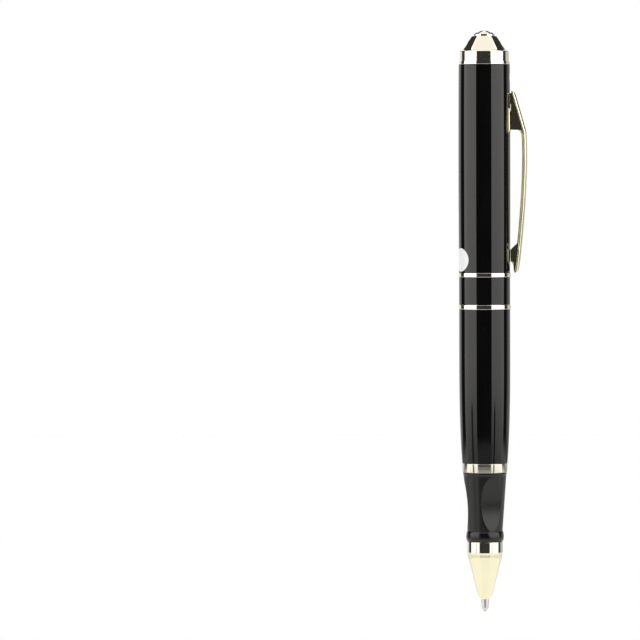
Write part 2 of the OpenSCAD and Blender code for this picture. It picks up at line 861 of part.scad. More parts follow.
module lower_barrel() {
    steps = 14;
    bend = z_parting - lower_straight;
    foot = z_lower + face_gap;
    color(lacquer) difference() {
        rotate_extrude() polygon([
            [0, foot],
            for (i = [0:steps]) let (z = foot + (bend - foot) * i / steps) [lower_r(z), z],
            [barrel_r, z_parting],
            [0, z_parting]
        ]);
        bar(housing_bore_r, foot - cut, z_lip_in + cut);
        bar(mech_bore_r, z_lip_in, z_mech_top + cut);
        bar(core_way_r, z_mech_top, z_parting + cut);
        bar(insert_r + seat, z_parting - insert_h, z_parting + cut);
    }
}

// Brass ring that takes the collar's thread.
module thread_insert() {
    color(gold) pipe(insert_r, core_way_r, z_parting - insert_h, z_parting);
}

// Guide tube of the twist mechanism, with a straight slot that keeps the follower from turning.
module cam_housing() {
    color(steel) difference() {
        pipe(housing_r, housing_bore_r, z_lip_in, z_housing_top);
        block([-follower_r - run, 0, z_follower - follower_r - 0.1],
            [follower_r + run, mech_bore_r + cut, z_follower + refill_travel + follower_r + 0.1]);
    }
}

// Cam of the twist mechanism: a helical slot lifts the follower as the grip turns.
module cam_sleeve() {
    color(steel) difference() {
        union() {
            bar(cam_r, z_grip_top - cam_socket_h, z_cam_flange + cam_flange_h);
            bar(cam_flange_r, z_cam_flange, z_cam_flange + cam_flange_h);
        }
        bar(cam_bore_r, z_grip_top - cam_socket_h - cut, z_cam_flange + cam_flange_h + cut);
        for (i = [0:cam_slot_steps])
            spoke(cam_slot_r, 1, cam_r + cut, z_follower + refill_travel * i / cam_slot_steps,
                90 - twist_angle * i / cam_slot_steps);
    }
}

module grip_ring() {
    color(gold) pipe(grip_ring_r, cam_r + seat, z_grip_top, z_lower);
}

// Grip: a tapered tube with a rounded collar at its foot and three finger scoops.
module grip() {
    waist = z_grip + grip_waist_h;
    collar_steps = 6;
    color(lacquer) difference() {
        rotate_extrude() polygon([
            [0, z_grip],
            for (i = [0:collar_steps]) let (a = 180 * i / collar_steps)
                [grip_waist_r + (grip_collar_r - grip_waist_r) * sin(a),
                    z_grip + grip_waist_h * (0.03 + 0.47 * (1 - cos(a)))],
            [grip_waist_r, waist],
            [grip_top_r - 0.12, z_grip_top - 1],
            [grip_top_r, z_grip_top],
            [0, z_grip_top]
        ]);
        for (turn = scoop_turns)
            rotate([0, 0, turn]) translate([scoop_r + scoop_curve_r, 0, z_grip + scoop_mid_h])
                rotate([90, 0, 0])
                    cylinder(r = scoop_curve_r, h = 4 * grip_top_r, center = true, $fn = 240);
        bar(nose_spigot_r + seat, z_grip - cut, z_grip + nose_spigot_h + seat);
        bar(grip_bore_r, z_grip, z_grip_top);
        bar(cam_r + seat, z_grip_top - cam_socket_h - seat, z_grip_top + cut);
    }
}

module nose_band() {
    color(gold) pipe(nose_band_r, nose_spigot_r + seat, z_band, z_grip);
}

// Gold cone with a rim, a bevelled mouth and a spigot that screws into the grip.
module nose_cone() {
    color(pale_gold) difference() {
        union() {
            translate([0, 0, z_mouth]) cylinder(r1 = mouth_r + mouth_rim, r2 = cone_tip_r, h = cone_bevel_h);
            translate([0, 0, z_cone]) cylinder(r1 = cone_tip_r, r2 = cone_top_r, h = cone_len);
            bar(nose_band_r + 0.04, z_rim, z_band);
            bar(nose_spigot_r, z_rim, z_grip + nose_spigot_h);
        }
        bar(mouth_r, z_mouth - cut, z_throat + cut);
        bar(throat_r, z_throat, z_spring + cut);
        bar(spring_room_r, z_spring, z_grip + nose_spigot_h + cut);
    }
}

// ---- Refill ----

// Silver point, with a ball socket at its tip.
module refill_point() {
    color(steel) difference() {
        union() {
            translate([0, 0, z_point]) cylinder(r1 = point_tip_r, r2 = point_end_r, h = point_tip_h);
            translate([0, 0, z_point + point_tip_h])
                cylinder(r1 = point_end_r, r2 = point_r, h = z_mouth - z_point - point_tip_h);
            bar(point_r, z_mouth, z_point_shank);
            bar(ink_r, z_point_shank, z_point_top);
        }
        translate([0, 0, ball_z]) sphere(r = socket_r);
        bar(ink_bore_r, ball_z, z_point_top + cut);
    }
}

module point_ball() {
    color([0.85, 0.85, 0.87]) translate([0, 0, ball_z]) sphere(r = ball_r);
}

// Ink tube, with the stop that the spring pushes on.
module refill_tube() {
    color([0.8, 0.7, 0.45]) difference() {
        union() {
            bar(ink_r, z_point_top, z_pusher + ink_grip_h);
            bar(stop_r, z_stop, z_stop + stop_h);
        }
        bar(ink_r - ink_wall, z_point_top - cut, z_pusher + ink_grip_h + cut);
    }
}

// Plug on top of the ink tube. Its side pin rides in both slots of the twist mechanism.
module refill_pusher() {
    color([0.85, 0.85, 0.83]) difference() {
        union() {
            bar(pusher_r, z_pusher, z_pusher + pusher_h);
            spoke(follower_r, 1, mech_bore_r - 0.2, z_follower, 90);
        }
        bar(ink_r + seat, z_pusher - cut, z_pusher + ink_grip_h + seat);
    }
}

// Spring round the point, between the cone's shoulder and the stop.
module refill_spring() {
    count = spring_turns * spring_steps;
    foot = z_spring + face_gap + wire_r;
    rise = spring_len - 2 * wire_r - 2 * face_gap;
    color(steel) loft([
        for (k = [0:count]) let (turn = 360 * k / spring_steps, z = foot + rise * k / count)
            [for (s = [0:spring_sides - 1])
                let (a = 360 * s / spring_sides, r = spring_r + wire_r * cos(a))
                [r * cos(turn), r * sin(turn), z + wire_r * sin(a)]]
    ]);
}

head_cap();
head_lip();
button_bezel();
switch_case();
head_bulkhead();
upper_barrel();
clip_saddle();
clip_anchor();
clip_pin();
lens_window();
camera_module();
image_sensor();
microphone();
status_light();
main_board();
memory_chip();
control_chip();
battery_bulkhead();
battery();
label_sticker();
upper_ring();
centre_sleeve();
threaded_collar();
core_tube();
plug_socket_half();
plug_blank_half();
usb_shell();
usb_tongue();
usb_contacts();
usb_board();
push_button();
switch_plunger();
pocket_clip();
lower_ring();
lower_barrel();
thread_insert();
cam_housing();
grip_ring();
grip();
nose_band();
nose_cone();
cam_sleeve();
refill_tube();
refill_point();
refill_pusher();
refill_spring();
point_ball();
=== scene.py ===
# %% [markdown]
# # Dressing a pen that hides a camera
# The solids of this pen come from its CAD model, in metres and in their final places. This lesson gives the
# pen its looks: lathe-turned brass and lacquer, a pressed clip, a moulded grip and a small studio to see
# them in. Nothing here changes a size. Each new piece stands where a CAD node says it is, and rides on that
# node's body.

# %% Loading the frame
import json
import math

import bmesh
import bpy
from mathutils import Matrix, Quaternion, Vector


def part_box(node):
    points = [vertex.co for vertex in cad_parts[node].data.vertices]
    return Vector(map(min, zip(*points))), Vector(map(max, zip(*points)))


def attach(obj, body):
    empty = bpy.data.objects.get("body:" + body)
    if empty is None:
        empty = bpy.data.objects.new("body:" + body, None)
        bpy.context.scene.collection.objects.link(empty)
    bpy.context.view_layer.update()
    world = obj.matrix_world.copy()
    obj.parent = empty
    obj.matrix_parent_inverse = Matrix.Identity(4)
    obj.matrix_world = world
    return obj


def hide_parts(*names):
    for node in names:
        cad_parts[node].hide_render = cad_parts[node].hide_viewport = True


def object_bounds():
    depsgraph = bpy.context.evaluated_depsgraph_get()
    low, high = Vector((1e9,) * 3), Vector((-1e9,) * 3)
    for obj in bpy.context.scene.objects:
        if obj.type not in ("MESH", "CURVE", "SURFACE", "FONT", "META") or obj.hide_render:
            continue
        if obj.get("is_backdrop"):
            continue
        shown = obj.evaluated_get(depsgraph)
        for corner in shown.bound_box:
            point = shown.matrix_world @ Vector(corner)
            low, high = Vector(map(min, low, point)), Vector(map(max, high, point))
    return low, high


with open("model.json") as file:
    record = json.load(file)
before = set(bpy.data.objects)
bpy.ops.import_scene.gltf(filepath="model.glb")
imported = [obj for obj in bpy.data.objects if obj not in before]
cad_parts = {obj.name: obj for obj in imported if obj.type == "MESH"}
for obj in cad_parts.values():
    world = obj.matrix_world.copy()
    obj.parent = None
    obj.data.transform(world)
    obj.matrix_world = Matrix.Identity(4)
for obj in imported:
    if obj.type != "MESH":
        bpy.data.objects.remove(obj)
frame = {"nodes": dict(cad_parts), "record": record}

cad_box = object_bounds()
scene = bpy.context.scene
print("CAD nodes:", len(frame["nodes"]), "box in mm:", [round(1000 * (b - a), 2) for a, b in zip(*cad_box)])

# %% [markdown]
# ## Reading sizes from the CAD
# Blender works in metres and a pen is easier to think about in millimetres, so the outlines below are in
# millimetres and are scaled once, when their points are made. Heights and outer radii are read from the CAD
# nodes, so the dress fits whatever the solids measure.

# %% Heights and radii of the CAD nodes
MM = 0.001


def foot(node):
    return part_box(node)[0].z / MM


def head(node):
    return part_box(node)[1].z / MM


def reach(node):
    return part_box(node)[1].y / MM


BARREL = reach("centre_sleeve")
TRIM = reach("upper_ring")
print("barrel radius", round(BARREL, 2), "trim radius", round(TRIM, 2))
print("parting at", round(head("lower_barrel"), 2))

# %% [markdown]
# ## Materials: shared parts
# Every finish is a node tree. They all begin the same way, with a Principled shader and Object coordinates,
# which are the pen's own metres, so a pattern has the same grain on every piece. A few helpers keep the
# trees short: noise of a given grain in millimetres, a ramp, a range and a bump.

# %% Helpers for node trees
def start_finish(name):
    made = bpy.data.materials.new(name)
    made.use_nodes = True
    tree = made.node_tree
    place = tree.nodes.new("ShaderNodeTexCoord").outputs["Object"]
    return made, tree, tree.nodes["Principled BSDF"], place


def noise(tree, place, grain, detail=3.0):
    """Noise whose blobs are about grain millimetres long in x, y and z."""
    spread = tree.nodes.new("ShaderNodeMapping")
    spread.inputs["Scale"].default_value = [1 / (g * MM) for g in grain]
    cloud = tree.nodes.new("ShaderNodeTexNoise")
    cloud.inputs["Scale"].default_value = 1
    cloud.inputs["Detail"].default_value = detail
    tree.links.new(place, spread.inputs["Vector"])
    tree.links.new(spread.outputs["Vector"], cloud.inputs["Vector"])
    return cloud.outputs["Fac"]


def blend_colours(tree, fac, dark, light):
    """Two colours, mixed by a noise: dark below 0.35 and light above 0.65."""
    ramp = tree.nodes.new("ShaderNodeValToRGB")
    first, last = ramp.color_ramp.elements
    first.position, first.color = 0.35, (*dark, 1)
    last.position, last.color = 0.65, (*light, 1)
    tree.links.new(fac, ramp.inputs["Fac"])
    return ramp.outputs["Color"]


def spread_over(tree, fac, low, high):
    """A number that runs from low to high as the noise runs from 0.3 to 0.7."""
    span = tree.nodes.new("ShaderNodeMapRange")
    for key, value in (("From Min", 0.3), ("From Max", 0.7), ("To Min", low), ("To Max", high)):
        span.inputs[key].default_value = value
    tree.links.new(fac, span.inputs["Value"])
    return span.outputs["Result"]


def relief(tree, shader, fac, depth):
    """Bump of the given depth in millimetres."""
    bump = tree.nodes.new("ShaderNodeBump")
    bump.inputs["Distance"].default_value = depth * MM
    bump.inputs["Strength"].default_value = 1
    tree.links.new(fac, bump.inputs["Height"])
    tree.links.new(bump.outputs["Normal"], shader.inputs["Normal"])


# %% [markdown]
# ## Gold plate
# The trim is brass, polished on a lathe and plated pale gold. Plating hides the brass but keeps the lathe's
# last marks: rings a few hundredths of a millimetre wide, far longer around the pen than along it. So the
# noise for gloss and bump is squeezed along Z. A slow drift between two golds keeps large faces from
# looking like paint.

# %% Gold finishes
def gold_plate(name, warm, pale, gloss=(0.05, 0.12)):
    made, tree, shader, place = start_finish(name)
    shader.inputs["Metallic"].default_value = 1
    drift = noise(tree, place, (6, 6, 9))
    tree.links.new(blend_colours(tree, drift, warm, pale), shader.inputs["Base Color"])
    rings = noise(tree, place, (1.6, 1.6, 0.07), 2)
    tree.links.new(spread_over(tree, rings, *gloss), shader.inputs["Roughness"])
    relief(tree, shader, rings, 0.0004)
    return made


GOLD = gold_plate("gold plate", (0.925, 0.875, 0.755), (0.95, 0.905, 0.81))
PALE_GOLD = gold_plate("pale gold plate", (0.91, 0.86, 0.62), (0.94, 0.89, 0.67), (0.04, 0.10))
# A rougher gold for the clip arm's flat sides, its darker colour painted shade.
CLIP_SIDE_SHADE = gold_plate("gold with painted side shade", (0.62, 0.58, 0.42), (0.72, 0.68, 0.50), (0.34, 0.46))
RAW_BRASS = gold_plate("turned brass", (0.76, 0.60, 0.30), (0.83, 0.69, 0.40), (0.12, 0.26))
print("gold finishes:", GOLD.name, PALE_GOLD.name, RAW_BRASS.name)

# %% [markdown]
# ## Black lacquer
# The barrels are brass tubes under deep black lacquer. Black gloss shows only what it mirrors, so its
# colour is almost nothing and its surface does the work: a very slight orange peel from spraying, and
# hairline marks that run along the pen, because that is how it slides in and out of a pocket. The grip is
# moulded plastic, whose gloss is softer and whose skin is a little uneven.

# %% Black finishes
def black_gloss(name, tint, gloss, peel, marks):
    made, tree, shader, place = start_finish(name)
    shader.inputs["IOR"].default_value = 1.5
    cloud = noise(tree, place, (3, 3, 12))
    tree.links.new(blend_colours(tree, cloud, tint, [c * 1.5 for c in tint]), shader.inputs["Base Color"])
    hairs = noise(tree, place, marks, 2)
    tree.links.new(spread_over(tree, hairs, *gloss), shader.inputs["Roughness"])
    relief(tree, shader, noise(tree, place, (peel[0],) * 3, 1), peel[1])
    return made


LACQUER = black_gloss("black lacquer", (0.0018, 0.0018, 0.002), (0.03, 0.07), (1.8, 0.0012), (0.12, 0.12, 6))
GRIP_BLACK = black_gloss(
    "moulded black grip", (0.0022, 0.0022, 0.0024), (0.17, 0.26), (0.5, 0.0015), (0.4, 0.4, 0.4),
)
print("black finishes:", LACQUER.name, GRIP_BLACK.name)

# %% [markdown]
# ## Steel, plastics, glass, paper and board
# The small pieces need finishes of their own: drawn steel with fine lines, white and black moulded plastic
# with a faint mottle, a coated lens, a vinyl label and a green circuit board with its tracks showing
# through.

# %% Steel
def steel_finish(name, dark, light, grain, gloss):
    made, tree, shader, place = start_finish(name)
    shader.inputs["Metallic"].default_value = 1
    lines = noise(tree, place, grain, 2)
    tree.links.new(blend_colours(tree, lines, dark, light), shader.inputs["Base Color"])
    tree.links.new(spread_over(tree, lines, *gloss), shader.inputs["Roughness"])
    relief(tree, shader, lines, 0.0006)
    return made


STEEL = steel_finish("drawn steel", (0.60, 0.60, 0.61), (0.76, 0.76, 0.77), (0.06, 0.06, 2), (0.18, 0.34))
BRIGHT_STEEL = steel_finish(
    "turned nickel silver", (0.70, 0.69, 0.67), (0.80, 0.79, 0.77), (0.8, 0.8, 0.05), (0.24, 0.36),
)
CARBIDE = steel_finish(
    "tungsten carbide ball", (0.05, 0.05, 0.054), (0.08, 0.08, 0.085), (0.07, 0.07, 0.07), (0.20, 0.30),
)
CELL_CAN = steel_finish("cell can", (0.42, 0.43, 0.45), (0.58, 0.59, 0.60), (0.5, 0.5, 0.08), (0.25, 0.4))
print("steels:", STEEL.name, BRIGHT_STEEL.name, CARBIDE.name, CELL_CAN.name)


# %% Plastics and paper
def moulded(name, dark, light, gloss, skin=0.0015):
    made, tree, shader, place = start_finish(name)
    mottle = noise(tree, place, (1.2, 1.2, 1.2))
    tree.links.new(blend_colours(tree, mottle, dark, light), shader.inputs["Base Color"])
    fine = noise(tree, place, (0.12, 0.12, 0.12), 2)
    tree.links.new(spread_over(tree, fine, *gloss), shader.inputs["Roughness"])
    relief(tree, shader, fine, skin)
    return made


WHITE_PLASTIC = moulded("white end plug", (0.80, 0.80, 0.79), (0.87, 0.87, 0.86), (0.30, 0.45))
BLACK_PLASTIC = moulded("black moulding", (0.012, 0.012, 0.013), (0.022, 0.022, 0.024), (0.30, 0.50))
GREY_PLASTIC = moulded("grey bulkhead", (0.20, 0.20, 0.22), (0.27, 0.27, 0.29), (0.40, 0.60))
LABEL = moulded("white vinyl label", (0.86, 0.86, 0.85), (0.92, 0.92, 0.91), (0.28, 0.38), 0.0008)
print("plastics:", WHITE_PLASTIC.name, BLACK_PLASTIC.name, GREY_PLASTIC.name, LABEL.name)


# %% Lens glass and the light's lens
def clear_finish(name, tint, light):
    made, tree, shader, place = start_finish(name)
    shader.inputs["Transmission Weight"].default_value = 1
    shader.inputs["IOR"].default_value = 1.5
    coating = noise(tree, place, (2.5, 2.5, 2.5), 1)
    tree.links.new(blend_colours(tree, coating, tint, light), shader.inputs["Base Color"])
    tree.links.new(spread_over(tree, coating, 0.0, 0.04), shader.inputs["Roughness"])
    return made


LENS_GLASS = clear_finish("coated lens glass", (0.55, 0.60, 0.82), (0.72, 0.66, 0.86))
LIGHT_LENS = clear_finish("clear light lens", (0.60, 0.72, 0.92), (0.72, 0.80, 0.95))
print("clear finishes:", LENS_GLASS.name, LIGHT_LENS.name)


# %% Circuit board
def board_finish():
    made, tree, shader, place = start_finish("green circuit board")
    shader.inputs["Roughness"].default_value = 0.3
    tracks = tree.nodes.new("ShaderNodeTexBrick")
    tracks.inputs["Scale"].default_value = 900
    tracks.inputs["Mortar Size"].default_value = 0.012
    tracks.inputs["Color1"].default_value = (0.012, 0.13, 0.045, 1)
    tracks.inputs["Color2"].default_value = (0.014, 0.15, 0.05, 1)
    tracks.inputs["Mortar"].default_value = (0.07, 0.30, 0.12, 1)
    turn = tree.nodes.new("ShaderNodeMapping")
    turn.inputs["Rotation"].default_value = (0, math.radians(90), 0)
    tree.links.new(place, turn.inputs["Vector"])
    tree.links.new(turn.outputs["Vector"], tracks.inputs["Vector"])
    tree.links.new(tracks.outputs["Color"], shader.inputs["Base Color"])
    relief(tree, shader, tracks.outputs["Fac"], 0.01)
    return made


BOARD_GREEN = board_finish()
FINISHES = {
    "gold": GOLD,
    "pale_gold": PALE_GOLD,
    "lacquer": LACQUER,
    "grip_black": GRIP_BLACK,
    "black_plastic": BLACK_PLASTIC,
    "grey_plastic": GREY_PLASTIC,
    "white_plastic": WHITE_PLASTIC,
    "steel": STEEL,
    "bright_steel": BRIGHT_STEEL,
    "cell_can": CELL_CAN,
    "lens_glass": LENS_GLASS,
    "light_lens": LIGHT_LENS,
    "board_green": BOARD_GREEN,
    "label_paper": LABEL,
}
print("finishes:", len(FINISHES))

# %% [markdown]
# ## CAD nodes that keep their shape
# Boards, chips, bulkheads and the rest of the inside have the right shape already. Each keeps its CAD mesh
# and takes the finish of the material slot that the part's record gives it. The ball at the tip is the
# exception: its slot is steel like its neighbours', and the real one is darker carbide.

# %% Finishes for every CAD node
slot_of = {part["node"]: part["material_slot"] for part in frame["record"]["subparts"]}
own_finish = {"point_ball": CARBIDE}
for name, node in frame["nodes"].items():
    node.data.materials.clear()
    node.data.materials.append(own_finish.get(name, FINISHES[slot_of[name]]))
print("CAD nodes finished:", len(slot_of))

# %% [markdown]
# ## Turning on the lathe
# Most of this pen is turned, so the best tool is bmesh's spin: draw half the section as a flat face in the
# XZ plane, round the corners that a polisher would have rounded, and sweep its edge round Z. A third number
# on a point is the size of its rounding. The bevel is done while the section is still flat, because there
# it is one clean cut per corner. 192 steps keep each facet under two degrees, so highlights stay smooth.
#
# A smooth face is shaded by blending the normals at its corners, so the tilt of a tiny rounding would
# spread over the whole length of a barrel. Support points stop that: every long edge is split close to both
# its ends, and the tilt stays in the narrow band between.

# %% The lathe
SPIN_STEPS = 192
ROUNDING_STEPS = 5
LONG_EDGE, SUPPORT = 0.4 * MM, 0.02 * MM


def section_edges(bm, outline):
    """The outline's edges in the XZ plane, with its marked corners rounded."""
    corners = [bm.verts.new((r * MM, 0, z * MM)) for r, z, *_ in outline]
    bm.faces.new(corners)
    for size in sorted({point[2] for point in outline if len(point) > 2}):
        chosen = [v for v, point in zip(corners, outline) if point[2:] == (size,)]
        bmesh.ops.bevel(
            bm, geom=chosen, offset=size * MM, offset_type="OFFSET", affect="VERTICES",
            segments=ROUNDING_STEPS, profile=0.5, material=-1,
        )
    bmesh.ops.delete(bm, geom=bm.faces[:], context="FACES_ONLY")
    for edge in bm.edges[:]:
        if edge.calc_length() > LONG_EDGE:
            for corner in edge.verts[:]:
                bmesh.utils.edge_split(edge, corner, SUPPORT / edge.calc_length())
    return bm.edges[:]


def turned(outline, steps=SPIN_STEPS):
    """A closed turned shape from its half section, as a bmesh."""
    bm = bmesh.new()
    edges = section_edges(bm, outline)
    on_axis = [e for e in edges if max(v.co.x for v in e.verts) < 1e-7]
    bmesh.ops.delete(bm, geom=on_axis, context="EDGES")
    bmesh.ops.spin(
        bm, geom=bm.verts[:] + bm.edges[:], cent=(0, 0, 0), axis=(0, 0, 1), dvec=(0, 0, 0),
        angle=2 * math.pi, steps=steps, use_merge=True,
    )
    bmesh.ops.remove_doubles(bm, verts=bm.verts[:], dist=1e-7)
    bmesh.ops.recalc_face_normals(bm, faces=bm.faces[:])
    return bm


print("lathe steps:", SPIN_STEPS)

# %% [markdown]
# ## From a bmesh to a finished piece
# A shape becomes an object once, here. Faces are smooth and edges over 30 degrees are sharp, unless a piece
# asks for another angle. The piece then takes its CAD node's place: it rides on the same body, wears the
# finish it is given, and the node is hidden.

# %% Finishing a piece
def make_piece(name, bm, finish, body, nodes, sharp=30):
    mesh = bpy.data.meshes.new(name)
    bm.to_mesh(mesh)
    bm.free()
    mesh.shade_smooth()
    mesh.set_sharp_from_angle(angle=math.radians(sharp))
    mesh.materials.append(finish)
    piece = bpy.data.objects.new(name, mesh)
    scene.collection.objects.link(piece)
    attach(piece, body)
    if nodes:
        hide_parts(*nodes)
    spans = [[v.co[i] / MM for v in mesh.vertices] for i in range(3)]
    size = [round(max(span) - min(span), 2) for span in spans]
    print(f"{name}: {len(mesh.polygons)} faces, {size} mm")
    return piece

# %% [markdown]
# ## Rings, sleeve and tubes
# The trim rings are narrow brass bands with softened rims, a hair proud of the lacquer. The polisher's
# wheel rounds every outer edge, and that rounding is what catches a bright line at the top and foot of each
# ring.

# %% Trim rings and the centre sleeve
def tube(outer, bore, low, high, edge=0.06):
    return [(bore, low, 0.03), (outer, low, edge), (outer, high, edge), (bore, high, 0.03)]


RING_EDGE = 0.08
SHANK_FIT, LOOSE_FIT, UPPER_BORE = 6.12, 6.16, 6.25
for name, body, bore in (("upper_ring", "camera_half", SHANK_FIT), ("lower_ring", "joint_ring", LOOSE_FIT)):
    outline = tube(TRIM, bore, foot(name), head(name), RING_EDGE)
    make_piece(name + "_trim", turned(outline), GOLD, body, [name])

LIP_R, Z_LIP, Z_LIP_TOP = reach("head_lip"), foot("head_lip"), head("head_lip")
outline = [(UPPER_BORE, Z_LIP), (LIP_R, Z_LIP, 0.12), (LIP_R, Z_LIP_TOP), (UPPER_BORE, Z_LIP_TOP)]
make_piece("head_lip_trim", turned(outline), GOLD, "camera_half", ["head_lip"])

outline = tube(BARREL, SHANK_FIT, foot("centre_sleeve"), head("centre_sleeve"), 0.05)
make_piece("centre_sleeve_lacquered", turned(outline), LACQUER, "camera_half", ["centre_sleeve"])

# %% [markdown]
# ## Solid helpers
# A few pieces need a hole or a union, so two more helpers: a rod and a brick in millimetres, and
# `combined`, which runs Blender's exact Boolean and gives the result back as a bmesh, so it can go on to
# `make_piece`.

# %% Rods, bricks and Booleans
def rod(radius, start, end, segments=64):
    bm = bmesh.new()
    start, end = Vector(start) * MM, Vector(end) * MM
    place = Matrix.Translation((start + end) / 2) @ (end - start).to_track_quat("Z", "Y").to_matrix().to_4x4()
    bmesh.ops.create_cone(
        bm, cap_ends=True, segments=segments, radius1=radius * MM, radius2=radius * MM,
        depth=(end - start).length, matrix=place,
    )
    return bm


def brick(low, high, edge=0.0):
    bm = bmesh.new()
    low, high = Vector(low) * MM, Vector(high) * MM
    place = Matrix.Translation((low + high) / 2) @ Matrix.Diagonal((*(high - low), 1))
    bmesh.ops.create_cube(bm, size=1, matrix=place)
    if edge:
        bmesh.ops.bevel(
            bm, geom=bm.edges[:], offset=edge * MM, offset_type="OFFSET", affect="EDGES",
            segments=3, profile=0.5, material=-1,
        )
    return bm


def combined(base, operation, *others):
    """The base with the others cut out (DIFFERENCE), added (UNION) or kept only inside them (INTERSECT)."""
    holders = []
    for bm in (base, *others):
        mesh = bpy.data.meshes.new("solid")
        bm.to_mesh(mesh)
        bm.free()
        holder = bpy.data.objects.new("solid", mesh)
        scene.collection.objects.link(holder)
        holders.append(holder)
    for other in holders[1:]:
        step = holders[0].modifiers.new("combine", "BOOLEAN")
        step.operation, step.solver, step.object = operation, "EXACT", other
    bpy.context.view_layer.update()
    result = bmesh.new()
    result.from_object(holders[0], bpy.context.evaluated_depsgraph_get())
    for holder in holders:
        mesh = holder.data
        bpy.data.objects.remove(holder)
        bpy.data.meshes.remove(mesh)
    bmesh.ops.remove_doubles(result, verts=result.verts[:], dist=1e-7)
    bmesh.ops.recalc_face_normals(result, faces=result.faces[:])
    return result


print("helpers:", rod.__name__, brick.__name__, combined.__name__)


# %% [markdown]
# ## Upper barrel
# The upper barrel isn't quite straight. It swells by a tenth of a millimetre at its middle, which is enough
# to bend its long reflections a little. The slot for the clip's lug, the lens hole and two pinholes go
# through its wall: one pinhole is for the microphone and one for the status light.

# %% Upper barrel with its openings
Z_UPPER, Z_UPPER_TOP = foot("upper_barrel"), head("upper_barrel")
SWELL = reach("upper_barrel") - BARREL
Z_LENS = Z_UPPER_TOP - 3.4


def upper_surface(z):
    along = (z - Z_UPPER) / (Z_UPPER_TOP - Z_UPPER)
    return BARREL + SWELL * (1 - (2 * along - 1) ** 2)


def upper_shell(skin, bore, low, high, rows=32, edge=0.05):
    """The upper barrel's skin between two heights, thickened outwards by skin."""
    levels = [low + (high - low) * i / rows for i in range(rows + 1)]
    wall = [(upper_surface(z) + skin, z) for z in levels]
    wall[0], wall[-1] = (*wall[0], edge), (*wall[-1], edge)
    if bore is None:
        return wall + [(upper_surface(z) - 0.01, z) for z in reversed(levels)]
    return wall + [(bore, high, 0.03), (bore, low, 0.03)]


def turned_out(radius, turn):
    """A point at this radius, turned round the pen from the clip's side."""
    return Vector((radius * math.cos(math.radians(turn)), radius * math.sin(math.radians(turn)), 0))


def pinhole(radius, turn, z, segments=48):
    """A cutter through the wall on one side, at this turn and height."""
    lift = Vector((0, 0, z))
    return rod(radius, turned_out(5, turn) + lift, turned_out(8, turn) + lift, segments)


SLOT, SLOT_ROUND = (Vector((5, -1.35, 5.3)), Vector((8, 1.35, 10.5))), 0.3
LENS_HOLE, MICROPHONE_HOLE, LIGHT_HOLE = (1.2, 0, Z_LENS), (0.35, 60, 12.1), (0.52, 60, 8.1)
upper = combined(
    turned(upper_shell(0, UPPER_BORE, Z_UPPER, Z_UPPER_TOP)), "DIFFERENCE", brick(*SLOT, SLOT_ROUND),
    pinhole(*LENS_HOLE), pinhole(*MICROPHONE_HOLE), pinhole(*LIGHT_HOLE),
)
make_piece("upper_barrel_lacquered", upper, LACQUER, "camera_half", ["upper_barrel"])

# %% [markdown]
# ## Lower barrel
# The lower barrel runs straight for nine millimetres and then draws in to meet the grip, slowly at first. A
# power curve gives that: the radius drops with the 3.2th power of the way down. Inside are the stepped
# bores that the mechanism and the core tube slide in.

# %% Lower barrel and the thread inside its mouth
Z_PARTING, Z_LOWER = head("lower_barrel"), foot("lower_barrel")
STRAIGHT, DRAWN_IN, TAPER_POWER, TAPER_ROWS = 9, 0.76, 3.2, 40
Z_TAPER = Z_PARTING - STRAIGHT
LOWER_END = BARREL - DRAWN_IN
CAM_SEAT, MECHANISM_BORE, CORE_WAY, INSERT_SEAT = 4.70, 5.35, 6.11, 6.43
Z_CAM_SEAT, Z_MECHANISM_TOP, Z_INSERT_SEAT = -86.1, -75.7, -49.6


def lower_surface(share):
    """Radius and height at a share of the taper's length, from the top down."""
    return (BARREL - (BARREL - LOWER_END) * share ** TAPER_POWER, Z_TAPER + (Z_LOWER - Z_TAPER) * share)


outline = [(BARREL, Z_PARTING, 0.05), (BARREL, Z_TAPER)]
outline += [lower_surface(i / TAPER_ROWS) for i in range(1, TAPER_ROWS)]
outline += [
    (LOWER_END, Z_LOWER, 0.04), (CAM_SEAT, Z_LOWER, 0.03), (CAM_SEAT, Z_CAM_SEAT),
    (MECHANISM_BORE, Z_CAM_SEAT), (MECHANISM_BORE, Z_MECHANISM_TOP), (CORE_WAY, Z_MECHANISM_TOP),
    (CORE_WAY, Z_INSERT_SEAT),
    (INSERT_SEAT, Z_INSERT_SEAT), (INSERT_SEAT, Z_PARTING, 0.02),
]
make_piece("lower_barrel_lacquered", turned(outline), LACQUER, "writing_half", ["lower_barrel"])

outline = tube(reach("thread_insert"), CORE_WAY, foot("thread_insert"), head("thread_insert"), 0.03)
make_piece("thread_insert_brass", turned(outline), RAW_BRASS, "writing_half", ["thread_insert"])

# %% [markdown]
# ## Faceted head
# The head is turned first and then cut with five facets, so it is made the same way here: spin the section,
# then move the vertices of its sloping wall. At the bezel the facets meet in a true polygon. At their foot
# they swell out towards a circle, over the band's shoulder. The edge between two facets is a narrow flat,
# half a millimetre wide, because polishing never leaves a sharp one.

# %% Head cap: turned, then faceted
HEAD_R = reach("head_cap")
Z_HEAD, Z_BEZEL = head("head_lip"), head("head_cap")
Z_FACETS = Z_BEZEL - 3.75
SHOULDER_H, BEZEL_SEAT = 0.2, 2.12
HEAD_BORE, SPIGOT_R = 5.7, 6.23
Z_SPIGOT, Z_HEAD_ROOM = 16.3, 20.65
FACETS, FACET_ROWS = 5, 12
FACET_TOP = reach("button_bezel") + 0.02
FACET_FOOT = HEAD_R - 0.3
EDGE_HALF = 0.27


